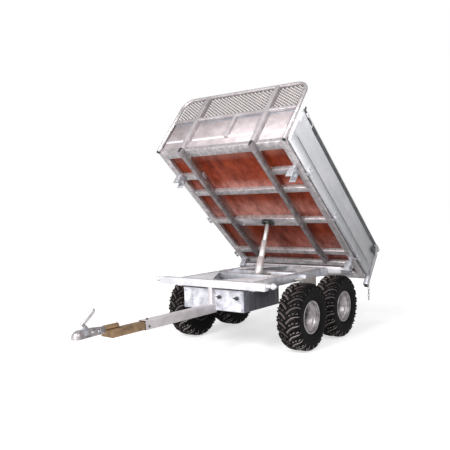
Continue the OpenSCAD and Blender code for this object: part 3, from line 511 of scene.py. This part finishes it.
def bogie_fittings():
    """Nuts on the rocking pins, and the brackets' outer plates with their caps."""
    marks, plates = bmesh.new(), bmesh.new()
    outline = ((-0.14, 0.562), (0.13, 0.562), (0.13, 0.50), (0.034, 0.335), (0.018, 0.318), (-0.018, 0.318),
               (-0.034, 0.335), (-0.14, 0.47))
    for side in (-1, 1):
        bolt(marks, (-MID, side * 0.474, 0.34), (0, side, 0), 0.028, 0.004, 0.016)
        skin(plates, [[plates.verts.new((x - MID, side * y, z)) for x, z in outline] for y in (0.4702, 0.4744)])
        slab(plates, (-0.138 - MID, side * 0.4, 0.552), (0.128 - MID, side * 0.4715, 0.560), 0.001)
    fixed_piece("bogie_nuts", marks, dull_zinc, "chassis")
    fixed_piece("hanger_plates", plates, warm_zinc, "chassis")


bogie_fittings()

# Tyres: black rubber balloon tyres. Slanting lugs run from the middle of the tread over the
# shoulder, one side staggered to the other, with small studs between them; the wall has rings.
# TREAD and WALL give the section as (y, radius) from the tyre's middle outwards.
AXLE_X, WHEEL_Y, TYRE_R, TREAD_R = 0.306, 0.579, 0.28, 0.27
WHEELS = {"front_left": (AXLE_X, 1), "front_right": (AXLE_X, -1),
          "rear_left": (-AXLE_X, 1), "rear_right": (-AXLE_X, -1)}
TREAD = ((0.0, 0.2690), (0.030, 0.2688), (0.055, 0.2675), (0.070, 0.2650), (0.081, 0.2600), (0.0895, 0.2520),
         (0.0955, 0.2410), (0.0985, 0.2290), (0.0998, 0.2120))
WALL = ((0.0993, 0.1990), (0.0998, 0.1975), (0.0985, 0.1955), (0.0970, 0.1800), (0.0950, 0.1650), (0.0955, 0.1630),
        (0.0930, 0.1600), (0.0890, 0.1480), (0.0850, 0.1420), (0.0835, 0.1380), (0.0800, 0.1376), (0.0795, 0.1260))


def tyre_rubber():
    """Rubber: black in the grooves and walls, browner and paler with dust on the worn lug tops."""
    rubber = bpy.data.materials.new("tyre_rubber")
    rubber.use_nodes = True
    tree = rubber.node_tree
    node, link = tree.nodes.new, tree.links.new
    face = tree.nodes["Principled BSDF"]
    place = node("ShaderNodeTexCoord")
    dust = node("ShaderNodeTexNoise")
    dust.inputs["Scale"].default_value = 22
    dust.inputs["Detail"].default_value = 6
    link(place.outputs["Object"], dust.inputs["Vector"])
    parts = node("ShaderNodeSeparateXYZ")
    link(place.outputs["Object"], parts.inputs[0])
    span = link_math(tree, "SQRT", link_math(
        tree, "ADD", link_math(tree, "MULTIPLY", parts.outputs["X"], parts.outputs["X"]),
        link_math(tree, "MULTIPLY", parts.outputs["Z"], parts.outputs["Z"])), 0.0)
    height = node("ShaderNodeMapRange")
    for label, value in (("From Min", 0.2705), ("From Max", 0.2785), ("To Min", 0.0), ("To Max", 0.85)):
        height.inputs[label].default_value = value
    link(span, height.inputs["Value"])
    worn = link_math(tree, "MULTIPLY", height.outputs["Result"],
                     link_math(tree, "ADD", dust.outputs["Fac"], 0.35))
    colour = node("ShaderNodeMix")
    colour.data_type = "RGBA"
    colour.inputs["A"].default_value = (0.0045, 0.004, 0.0045, 1)
    colour.inputs["B"].default_value = (0.080, 0.064, 0.060, 1)
    link(worn, colour.inputs["Factor"])
    link(colour.outputs["Result"], face.inputs["Base Color"])
    face.inputs["Roughness"].default_value = 0.7
    face.inputs["Specular IOR Level"].default_value = 0.12
    fine = node("ShaderNodeTexNoise")
    fine.inputs["Scale"].default_value = 160
    link(place.outputs["Object"], fine.inputs["Vector"])
    bump = node("ShaderNodeBump")
    bump.inputs["Distance"].default_value = 0.0006
    bump.inputs["Strength"].default_value = 0.4
    link(fine.outputs["Fac"], bump.inputs["Height"])
    link(bump.outputs["Normal"], face.inputs["Normal"])
    return rubber


rubber = tyre_rubber()
# Pale second material of the lugs' bevel faces: a painted glint.
glint_edge = bpy.data.materials.new("glint_edge")
moulded(glint_edge, (0.06, 0.05, 0.048), (0.30, 0.265, 0.255), 0.6)


def along_tread(way):
    """Place and outward direction on the tread's section, way metres from its middle."""
    side = -1 if way < 0 else 1
    left = abs(way)
    for (y0, r0), (y1, r1) in zip(TREAD, TREAD[1:]):
        step = math.hypot(y1 - y0, r1 - r0)
        if left <= step or (y1, r1) == TREAD[-1]:
            share = left / step
            out = Vector((r0 - r1, y1 - y0)).normalized()
            return side * (y0 + share * (y1 - y0)), r0 + share * (r1 - r0), side * out[0], out[1]
        left -= step


def tread_block(shape, spine, wide, tall, sink=0.004):
    """Raised bar of rubber along a spine of (way, angle) points, with a bevel on one edge painted pale as a glint."""
    rings = []
    for i, (way, turn) in enumerate(spine):
        before, after = spine[max(0, i - 1)], spine[min(len(spine) - 1, i + 1)]
        across = Vector((after[0] - before[0], TREAD_R * (after[1] - before[1]))).normalized()
        row = []
        for half, lift in ((-wide / 2, -sink), (-wide * 0.42, tall), (wide * 0.16, tall), (wide * 0.46, tall * 0.55),
                           (wide / 2, -sink)):
            y, r, out_y, out_r = along_tread(way - half * across[1])
            at = turn + half * across[0] / TREAD_R
            y, r = max(-0.0999, min(0.0999, y + out_y * lift)), min(r + out_r * lift, 0.2799)
            row.append(shape.verts.new((r * math.cos(at), y, r * math.sin(at))))
        rings.append(row)
    for low, high in zip(rings, rings[1:]):
        for k in range(5):
            # The face after the third point of each row takes the painted glint.
            shape.faces.new((low[k], low[k - 1], high[k - 1], high[k])).material_index = int(k == 3)
    shape.faces.new(rings[0])
    shape.faces.new(reversed(rings[-1]))


def tyre_mesh():
    """Carcass turned from the section, with a ring of lugs and studs on each half of the tread."""
    shape = bmesh.new()
    half = list(TREAD) + list(WALL)
    section = [(-y, r) for y, r in reversed(half[1:])] + half
    count, lugs = 96, 22
    rings = []
    for k in range(count):
        at = 2 * math.pi * k / count
        rings.append([shape.verts.new((r * math.cos(at), y, r * math.sin(at))) for y, r in section])
    skin(shape, rings + rings[:1], closed=False, ends=False)
    pitch = 2 * math.pi / lugs
    for i in range(lugs):
        for side, start in ((1, 0.0), (-1, pitch / 2)):
            at = i * pitch + start
            tread_block(shape, [(side * way, at + turn) for way, turn in (
                (0.003, -0.060), (0.022, 0.020), (0.040, 0.078), (0.056, 0.112), (0.076, 0.136), (0.098, 0.148),
                (0.120, 0.150))], 0.0190, 0.0105)
            for way, turn, wide, long in ((0.034, 0.185, 0.014, 0.015), (0.062, 0.238, 0.015, 0.017),
                                          (0.090, 0.244, 0.014, 0.015)):
                tread_block(shape, [(side * (way + end * long / 2), at + turn + end * 0.012) for end in (-1, 1)],
                            wide, 0.0095)
    mesh = bpy.data.meshes.new("balloon_tyre")
    bmesh.ops.recalc_face_normals(shape, faces=shape.faces)
    shape.to_mesh(mesh)
    shape.free()
    mesh.materials.append(rubber)
    mesh.materials.append(glint_edge)
    mesh.polygons.foreach_set("use_smooth", [True] * len(mesh.polygons))
    mesh.set_sharp_from_angle(angle=math.radians(30))
    return mesh


tyre = tyre_mesh()
for wheel, (x, side) in WHEELS.items():
    piece = bpy.data.objects.new("tread_" + wheel, tyre)
    piece.location = (x - MID, side * WHEEL_Y, TYRE_R)
    bpy.context.scene.collection.objects.link(piece)
    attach(piece, "wheel_" + wheel)
    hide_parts("tyre_" + wheel)

# Wheels: rolled steel rims with a deep dished disc, silver paint over zinc, each on its hub with
# studs and nuts, and a rubber valve.
rim_silver = zinc_coat("rim_silver", (0.66, 0.61, 0.63), (0.36, 0.33, 0.34), crystal=300, patch=22, smooth=0.42,
                       rough=0.55, metal=0.8)


def fill_ramp(node, stops):
    """Stops of a colour ramp, each a position with a grey level or a colour."""
    ramp = node.color_ramp
    while len(ramp.elements) < len(stops):
        ramp.elements.new(0.5)
    for spot, (at, colour) in enumerate(stops):
        ramp.elements[spot].position = at
        ramp.elements[spot].color = (*colour, 1) if isinstance(colour, tuple) else (colour, colour, colour, 1)


def darken(coat, level):
    """Multiply a coat's colour by a level, a socket of its own tree."""
    tree = coat.node_tree
    colour = tree.nodes["Principled BSDF"].inputs["Base Color"]
    mixed = tree.nodes.new("ShaderNodeMix")
    mixed.data_type = "RGBA"
    mixed.blend_type = "MULTIPLY"
    mixed.inputs["Factor"].default_value = 1
    tree.links.new(colour.links[0].from_socket, mixed.inputs["A"])
    tree.links.new(level, mixed.inputs["B"])
    tree.links.new(mixed.outputs["Result"], colour)


def dish_shade(coat):
    """Darken the coat by depth in the dish: painted shade on the disc and a painted dark line at the bead's seat."""
    tree = coat.node_tree
    place = tree.nodes.new("ShaderNodeTexCoord")
    parts = tree.nodes.new("ShaderNodeSeparateXYZ")
    tree.links.new(place.outputs["Object"], parts.inputs[0])
    depth = tree.nodes.new("ShaderNodeMapRange")
    depth.inputs["From Min"].default_value = 0.52
    depth.inputs["From Max"].default_value = 0.67
    tree.links.new(link_math(tree, "ABSOLUTE", parts.outputs["Y"], 0.0), depth.inputs["Value"])
    levels = tree.nodes.new("ShaderNodeValToRGB")
    fill_ramp(levels, ((0.0, 0.08), (0.24, 0.12), (0.36, 0.30), (0.50, 0.75), (0.76, 1.0), (0.83, 0.35), (0.87, 1.0),
                       (0.95, 0.40), (0.99, 1.0)))
    tree.links.new(depth.outputs["Result"], levels.inputs["Fac"])
    darken(coat, levels.outputs["Color"])


dish_shade(rim_silver)
dress(["rim_" + wheel for wheel in WHEELS], rim_silver)


def wheel_fittings():
    """Five nuts on each disc, and a rubber valve that leans out of each rim."""
    disc_y, studs_r = 0.5495, 0.050
    for wheel, (x, side) in WHEELS.items():
        marks = bmesh.new()
        for k in range(5):
            at = 2 * math.pi * (k + 0.1) / 5
            place = (x - MID + studs_r * math.cos(at), side * disc_y, TYRE_R + studs_r * math.sin(at))
            bolt(marks, place, (0, side, 0), 0.019, 0.016, 0.013)
        fixed_piece("nuts_" + wheel, marks, bright_zinc, "wheel_" + wheel)
        valve = bmesh.new()
        base = Vector((x - MID + 0.093, side * 0.643, 0.30))
        turn = Vector((-0.35, side, 0)).to_track_quat("Z", "Y").to_matrix()
        rings = [ring(valve, base, turn, radius, z, 10) for z, radius in (
            (-0.006, 0.006), (0.004, 0.0055), (0.012, 0.004), (0.016, 0.003), (0.022, 0.0028), (0.023, 0.0015))]
        skin(valve, rings, ends=False)
        valve.faces.new(rings[-1])
        fixed_piece("valve_" + wheel, valve, black_plastic, "wheel_" + wheel)


wheel_fittings()

# Cylinder: a telescopic ram of three chromed stages in a painted barrel. It turns on a trunnion
# and pushes with a ball in a cup under the bed. A dark wiper ring closes each tube's mouth.
pale_chrome = zinc_coat("pale_chrome", (0.80, 0.75, 0.74), (0.68, 0.63, 0.63), crystal=220, patch=12, run=0.12,
                        smooth=0.34, rough=0.42, metal=0.5)
dress(["cylinder_barrel", "cylinder_stage_1", "cylinder_stage_2", "cylinder_stage_3"], pale_chrome)
dress(["head_socket"], black_plastic, 0.001)
TRUNNION = Vector((0.1 - MID, 0, 0.54))
RAM = Matrix.Translation(TRUNNION) @ Matrix.Rotation(math.radians(-22.0688), 4, "Y")


def turned(shape, place, profile, count=36):
    """Ring turned about a line of its own, from a closed profile of (radius, height) points."""
    rings = []
    for k in range(count):
        at = 2 * math.pi * k / count
        rings.append([shape.verts.new(place @ Vector((r * math.cos(at), r * math.sin(at), z))) for r, z in profile])
    skin(shape, rings + rings[:1], ends=False)


def wiper_rings():
    """Dark scraper ring in the mouth of the barrel and of the two outer stages."""
    for body, mouth, inner, outer in (("barrel", 0.042, 0.0340, 0.0405), ("stage_1", 0.2017, 0.0270, 0.0320),
                                      ("stage_2", 0.3614, 0.0200, 0.0250)):
        shape = bmesh.new()
        turned(shape, RAM, [(inner, mouth - 0.002), (outer, mouth - 0.002), (outer, mouth + 0.001),
                            (outer - 0.002, mouth + 0.003), (inner + 0.001, mouth + 0.003), (inner, mouth + 0.002)])
        fixed_piece("wiper_" + body, shape, black_plastic, body, 60)


wiper_rings()

# Bed frame: side rails, end beams and cross tubes of square tube in one plane under the floor,
# two long tubes below them, and outriggers with the front sockets. Welded and zinc dipped. What
# rides on the bed is drawn lying flat, from the rear sockets' middle, and BED raises it.
bed_zinc = zinc_coat("bed_zinc", (0.66, 0.62, 0.63), (0.35, 0.32, 0.33), crystal=80, patch=20, smooth=0.34, rough=0.58)
dark_tube = zinc_coat("dark_tube", (0.36, 0.325, 0.335), (0.17, 0.15, 0.155), crystal=80, patch=16, smooth=0.4,
                      rough=0.6, metal=0.6)
dress(["bed_side_rails", "bed_cross_tubes", "bed_end_beams", "bed_outriggers"], bed_zinc, 0.003)
dress(["bed_long_tubes"], dark_tube, 0.003)
socket_zinc = zinc_coat("socket_zinc", (0.62, 0.62, 0.66), (0.24, 0.24, 0.27), crystal=120, patch=30, smooth=0.4,
                        rough=0.6, metal=0.4)
dress(["pivot_sockets"], socket_zinc, 0.0015)
BED_TILT = math.radians(39.75)
BED = Matrix.Translation((-0.55 - MID, 0, 0.585)) @ Matrix.Rotation(-BED_TILT, 4, "Y")


def bed_piece(name, shape, material, body="bed", crease=35):
    """Piece drawn in the bed's own frame, turned with it to its raised place."""
    bmesh.ops.transform(shape, matrix=BED, verts=shape.verts)
    return fixed_piece(name, shape, material, body, crease)


def bed_welds():
    """Runs where cross tubes, outriggers and long tubes meet the frame; v is the rail's inner face."""
    shape = bmesh.new()
    rail_v, low, high = 0.601, 0.084, 0.118
    for side in (-1, 1):
        for u in (-0.035, 0.15, 1.068):
            for edge in (-0.03, 0.03):
                bead(shape, (u + edge, side * rail_v, low), (u + edge, side * rail_v, high))
            bead(shape, (u - 0.028, side * rail_v, 0.08), (u + 0.028, side * rail_v, 0.08))
        for u0, u1 in ((0.038, 0.178), (0.584, 0.682), (1.04, 1.096), (1.268, 1.328), (1.533, 1.612)):
            for v in (0.352, 0.382):
                bead(shape, (u0, side * v, 0.0795), (u1, side * v, 0.0795), 0.003)
        for u in (1.266, 1.33, 1.533):
            bead(shape, (u, side * rail_v, low), (u, side * rail_v, high))
    bed_piece("bed_welds", shape, bed_zinc, crease=60)


bed_welds()


def socket_bolts():
    """Bolts in the sides of the four sockets, and two pairs under the middle cross tube."""
    marks = bmesh.new()
    for side in (-1, 1):
        for u, v, w, aim in ((1.296, 0.622, 0.03, (0, side, 0)), (1.356, 0.622, 0.03, (0, side, 0)),
                             (-0.030, 0.622, 0.045, (0, side, 0)), (0.030, 0.622, 0.045, (0, side, 0)),
                             (0.60, 0.30, 0.07, (0, 0, -1)), (0.67, 0.30, 0.07, (0, 0, -1))):
            bolt(marks, (u, side * v, w), aim, 0.012, 0.007, 0.009)
    bed_piece("socket_bolts", marks, dull_zinc)


socket_bolts()

# Floor: film-faced birch plywood, red-brown and glossy, screwed down on the frame. Pale pinkish
# patches in front of each cross tube are a painted reflection; blotches run through it along the bed.
BED_START = (BED.inverted() @ Vector((0, 0, 0)))[0]


def along_bed(tree):
    """Mapping node that turns places into the bed's directions, and the socket of their run along it."""
    place = tree.nodes.new("ShaderNodeTexCoord")
    turn = tree.nodes.new("ShaderNodeMapping")
    turn.inputs["Rotation"].default_value = (0, BED_TILT, 0)
    parts = tree.nodes.new("ShaderNodeSeparateXYZ")
    tree.links.new(place.outputs["Object"], turn.inputs["Vector"])
    tree.links.new(turn.outputs["Vector"], parts.inputs[0])
    return turn, parts.outputs["X"]


def film_plywood():
    """Plywood's film: blotched red-brown, mixed by bay with a pale pinkish painted reflection."""
    film_face = bpy.data.materials.new("film_plywood")
    film_face.use_nodes = True
    tree = film_face.node_tree
    node, link = tree.nodes.new, tree.links.new
    face = tree.nodes["Principled BSDF"]
    turn, run = along_bed(tree)
    drawn = node("ShaderNodeMapping")
    drawn.inputs["Scale"].default_value = (1.0, 1.9, 1.0)
    link(turn.outputs["Vector"], drawn.inputs["Vector"])
    blotch = node("ShaderNodeTexNoise")
    blotch.inputs["Scale"].default_value = 6.5
    blotch.inputs["Detail"].default_value = 7
    blotch.inputs["Roughness"].default_value = 0.7
    blotch.inputs["Distortion"].default_value = 0.25
    link(drawn.outputs["Vector"], blotch.inputs["Vector"])
    broad = node("ShaderNodeTexNoise")
    broad.inputs["Scale"].default_value = 2.2
    broad.inputs["Detail"].default_value = 3
    link(turn.outputs["Vector"], broad.inputs["Vector"])
    gloss_bays = node("ShaderNodeValToRGB")
    fill_ramp(gloss_bays, [((u + 0.3) / 2, level) for u, level in (
        (-0.20, 0.1), (0.16, 0.2), (0.20, 0.8), (0.32, 0.4), (0.45, 0.0), (0.66, 0.2), (0.70, 1.0), (0.80, 0.8),
        (0.92, 0.1), (1.03, 0.0), (1.085, 1.0), (1.14, 0.8), (1.20, 0.15), (1.44, 0.0), (1.50, 0.4), (1.56, 0.7))])
    link(link_math(tree, "MULTIPLY", link_math(tree, "ADD", run, 0.3 + BED_START), 0.5), gloss_bays.inputs["Fac"])
    film = node("ShaderNodeValToRGB")
    fill_ramp(film, ((0.34, (0.105, 0.011, 0.005)), (0.70, (0.31, 0.046, 0.012))))
    link(blotch.outputs["Fac"], film.inputs["Fac"])
    # Painted reflection: a pale pinkish tone laid over the film in front of each cross tube, masked by bay and by
    # noise.
    painted_gloss = node("ShaderNodeMix")
    painted_gloss.data_type = "RGBA"
    painted_gloss.inputs["B"].default_value = (0.66, 0.33, 0.28, 1)
    gloss_patches = node("ShaderNodeMapRange")
    gloss_patches.inputs["From Min"].default_value = 0.75
    gloss_patches.inputs["From Max"].default_value = 1.25
    link(link_math(tree, "ADD", broad.outputs["Fac"], blotch.outputs["Fac"]), gloss_patches.inputs["Value"])
    share = link_math(tree, "MULTIPLY", gloss_patches.outputs["Result"], gloss_bays.outputs["Color"])
    link(link_math(tree, "MULTIPLY", share, 0.75), painted_gloss.inputs["Factor"])
    link(film.outputs["Color"], painted_gloss.inputs["A"])
    link(painted_gloss.outputs["Result"], face.inputs["Base Color"])
    face.inputs["Roughness"].default_value = 0.3
    face.inputs["Specular IOR Level"].default_value = 0.12
    bump = node("ShaderNodeBump")
    bump.inputs["Distance"].default_value = 0.0006
    bump.inputs["Strength"].default_value = 0.3
    link(blotch.outputs["Fac"], bump.inputs["Height"])
    link(bump.outputs["Normal"], face.inputs["Normal"])
    return film_face


dress(["floor_board"], film_plywood(), 0.001)

# Headboard: two posts, a rail and a bent round tube round an expanded steel mesh; below the rail
# a sheet with pressed ribs. All welded and zinc dipped; the sheet has weathered to a warm grey.
sheet_zinc = zinc_coat("sheet_zinc", (0.57, 0.50, 0.515), (0.39, 0.34, 0.35), crystal=90, patch=7, smooth=0.62,
                       rough=0.72, metal=0.25)
strand_zinc = zinc_coat("strand_zinc", (0.46, 0.39, 0.385), (0.30, 0.25, 0.245), crystal=90, patch=12, smooth=0.5,
                        rough=0.65, metal=0.3)
# The posts and rail take a darker coat than the loop's: painted shade.
tube_zinc = zinc_coat("tube_zinc", (0.56, 0.52, 0.53), (0.36, 0.33, 0.34), crystal=90, patch=9, smooth=0.4, rough=0.6,
                      metal=0.5)
dress(["headboard_posts"], tube_zinc, 0.003)
dress(["headboard_loop"], bed_zinc)
dress(["headboard_sheet"], sheet_zinc)
HEAD = 1.641


def half_round(shape, places, height):
    """Pressed rib: a half-round ridge over a row of places, each (foot, out, swell), out leading away."""
    skin(shape, [[shape.verts.new(Vector(foot) + Vector((out * swell * math.sin(k * math.pi / 8), 0,
                                                         -height * math.cos(k * math.pi / 8))))
                  for k in range(9)] for foot, out, swell in places], closed=False, ends=False)


def pressed_ribs():
    """Half-round ribs pressed out of the sheet, one in each bay between the posts, in a paler coat than the sheet as a
    painted highlight.
    """
    shape = bmesh.new()
    for v0, v1 in ((-0.635, -0.395), (-0.335, 0.335), (0.395, 0.635)):
        steps = max(8, int((v1 - v0) / 0.03))
        places = []
        for i in range(steps + 1):
            share = i / steps
            swell = min(1, 6 * min(share, 1 - share) * (v1 - v0) / 0.24) ** 0.5 if 0 < i < steps else 0.05
            places.append(((HEAD - 0.001, v0 + share * (v1 - v0), 0.205), 0.008, swell))
        half_round(shape, places, 0.012)
    bed_piece("pressed_ribs", shape, white_zinc, crease=60)


pressed_ribs()


def inside_mesh(v, w):
    """Whether a point lies within the bent tube's inner outline."""
    half, low, top, bend = 0.640, 0.450, 0.728, 0.092
    if abs(v) > half or w < low or w > top:
        return False
    over, wide = w - (top - bend), abs(v) - (half - bend)
    return not (over > 0 and wide > 0 and over * over + wide * wide > bend * bend)


def expanded_mesh():
    """Diamond mesh: downward strands one way in a dark coat as painted shade, wider ones crossing them in a paler coat
    as their lit side.
    """
    step, pitch, thick = 0.003, 0.0235, 0.0008
    for name, lean, wide, twist, coat in (("mesh_down", 54, 0.0100, 0.4, shaded_strand),
                                          ("mesh_up", -54, 0.0145, -0.2, strand_zinc)):
        shape = bmesh.new()
        slope = Vector((math.sin(math.radians(lean)), -math.cos(math.radians(lean))))
        flat = Vector((slope[1], -slope[0]))
        for i in range(-90, 91):
            start = Vector((i * pitch / math.cos(math.radians(lean)), 0.59))
            kept = [t * step for t in range(-240, 241) if inside_mesh(*(start + slope * t * step))]
            if len(kept) < 4:
                continue
            ends = []
            for t in (kept[0] - 2 * step, kept[-1] + 2 * step):
                v, w = start + slope * t
                ends.append([shape.verts.new((HEAD - 0.0035 + deep * thick + half * wide / 2 * twist,
                                              v + flat[0] * half * wide / 2, w + flat[1] * half * wide / 2))
                             for half, deep in ((-1, -1), (1, -1), (1, 1), (-1, 1))])
            skin(shape, ends)
        piece = bed_piece(name, shape, coat)
        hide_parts("headboard_mesh")


shaded_strand = zinc_coat("shaded_strand", (0.19, 0.155, 0.155), (0.09, 0.072, 0.072), crystal=90, patch=9, rough=0.6,
                        metal=0.3)
expanded_mesh()


def headboard_welds():
    """Runs at the posts' feet, the loop and the rail."""
    shape = bmesh.new()
    for side in (-1, 1):
        for v in (0.347, 0.387):
            bead(shape, (1.643, side * v, 0.122), (1.643, side * v, 0.2), 0.003)
        bead(shape, (1.655, side * 0.352, 0.717), (1.655, side * 0.384, 0.717), 0.003)
        for w in (0.426, 0.456):
            for v in (0.346, 0.388, 0.636):
                bead(shape, (1.645, side * v, w), (1.668, side * v, w), 0.003)
    bed_piece("headboard_welds", shape, tube_zinc, crease=60)


headboard_welds()


def rail_shadow():
    """Painted shadow: dull strips on the sheet below the headboard's rail, above it and beside its posts."""
    shape = bmesh.new()
    for v0, v1 in ((-0.634, -0.389), (-0.345, 0.345), (0.389, 0.634)):
        slab(shape, (1.6412, v0, 0.4085), (1.6425, v1, 0.4255))
        slab(shape, (1.6470, v0, 0.4565), (1.6500, v1, 0.4590))
    for side in (-1, 1):
        slab(shape, (1.6412, side * 0.387, 0.125), (1.6425, side * 0.3925, 0.425))
    bed_piece("painted_rail_shadow", shape, dull_zinc)


rail_shadow()

# Rear corner posts, the sides' hinge lugs and the drop sides themselves: folded sheet panels with
# a pressed groove and a heavy top rail, its outer face painted dark as the shade under it; spring bolts close their
# ends.
panel_zinc = zinc_coat("panel_zinc", (0.95, 0.95, 0.99), (0.78, 0.79, 0.83), crystal=60, patch=3.4, smooth=0.42,
                       rough=0.6, metal=0.35)


def shade_to_rear(coat):
    """Painted light falloff along the bed: the coat bright at its front, darker towards the rear."""
    tree = coat.node_tree
    run = along_bed(tree)[1]
    fade = tree.nodes.new("ShaderNodeMapRange")
    rear_u, front_u = 0.1, 1.55
    for label, value in (("From Min", rear_u - BED_START), ("From Max", front_u - BED_START), ("To Min", 0.56),
                         ("To Max", 1.0)):
        fade.inputs[label].default_value = value
    tree.links.new(run, fade.inputs["Value"])
    darken(coat, fade.outputs["Result"])


shade_to_rear(panel_zinc)
# Dark coats below: painted shade in the sides' groove and under their top rail.
groove_shade_zinc = zinc_coat("groove_shade_zinc", (0.26, 0.26, 0.28), (0.14, 0.14, 0.155), crystal=60, patch=8, rough=0.6, metal=0.2)
dark_zinc = zinc_coat("dark_zinc", (0.125, 0.128, 0.130), (0.060, 0.063, 0.066), crystal=60, patch=8, rough=0.6,
                      metal=0.1)
dress(["rear_posts", "side_hinges"], galvanised, 0.0015)
dress(["side_left", "side_right"], panel_zinc, 0.001)


def side_trim():
    """Dark strip on each top rail, painted shade of the rail's underside; dark latch blocks at its ends, the rear one
    partly painted shadow; painted shade in the groove; rivets, and the bolts at both ends.
    """
    panel, rail = 0.691, 0.7005
    for side, body in ((1, "drop_side_left"), (-1, "drop_side_right")):
        strip, groove_shade, bright, marks = bmesh.new(), bmesh.new(), bmesh.new(), bmesh.new()
        # Strip rows: the top rail's painted shade and the latch blocks, the rear block partly painted shadow. The row
        # in the groove: painted shade.
        for shape, u0, u1, inner, outer, w0, w1, soft in (
                (strip, -0.222, 1.452, rail, 0.7018, 0.388, 0.436, 0.0),
                (strip, 1.470, 1.560, rail, 0.7080, 0.405, 0.424, 0.002),
                (strip, 1.540, 1.632, rail, 0.7060, 0.412, 0.440, 0.002),
                (strip, 1.612, 1.634, rail, 0.7050, 0.425, 0.462, 0.002),
                (strip, -0.205, -0.120, rail, 0.7140, 0.318, 0.372, 0.004),
                (groove_shade, -0.150, 1.560, 0.6825, 0.6850, 0.197, 0.206, 0.0),
                (bright, -0.268, -0.206, 0.7015, 0.7068, 0.350, 0.450, 0.0015),
                (bright, -0.280, -0.236, 0.7060, 0.7150, 0.398, 0.440, 0.003),
                (bright, -0.250, -0.212, 0.7060, 0.7140, 0.352, 0.384, 0.003),
                (bright, 1.560, 1.604, 0.7115, 0.7230, 0.400, 0.414, 0.003)):
            slab(shape, (u0, side * inner, w0), (u1, side * outer, w1), soft)
        for i in range(12):
            bolt(marks, (-0.17 + i * 0.159, side * panel, 0.128), (0, side, 0), 0.006, 0.003, 0.006)
        for name, shape, coat in (("rail_shade_", strip, dark_zinc), ("seam_", groove_shade, groove_shade_zinc),
                                  ("end_bolts_", bright, white_zinc), ("rivets_", marks, panel_zinc)):
            bed_piece(name + body, shape, coat, body)


side_trim()

# Tailgate: a sheet box with ribs and two end tubes, hung on pins at its top, with a safety chain
# that hangs from its left tube.
dress(["tailgate"], galvanised, 0.0015)
dress(["safety_chain"], bright_zinc)
pale_tube = zinc_coat("pale_tube", (0.72, 0.74, 0.72), (0.52, 0.54, 0.52), crystal=80, patch=12, rough=0.6, metal=0.4)


def tailgate_ribs():
    """Two pressed stiffening ribs across the tailgate's outer sheet."""
    gate_face = -0.2885
    shape = bmesh.new()
    for w in (0.18, 0.30):
        half_round(shape, [((gate_face, -0.60 + 1.2 * i / 24, w), -0.0085, swell) for i, swell in enumerate(
            (0.05, 0.7, *(1,) * 21, 0.7, 0.05))], 0.014)
    bed_piece("tailgate_ribs", shape, panel_zinc, "tail_gate", 60)


tailgate_ribs()


def gate_ends():
    """Square end tubes welded on the tailgate's ends, each closed by a black plug."""
    tubes, plugs = bmesh.new(), bmesh.new()
    for side in (-1, 1):
        slab(tubes, (-0.320, side * 0.6495, 0.018), (-0.2885, side * 0.6885, 0.405), 0.002)
        slab(plugs, (-0.318, side * 0.6515, 0.012), (-0.290, side * 0.6865, 0.0185), 0.001)
    bed_piece("gate_end_tubes", tubes, pale_tube, "tail_gate")
    bed_piece("gate_end_plugs", plugs, black_plastic, "tail_gate")


gate_ends()
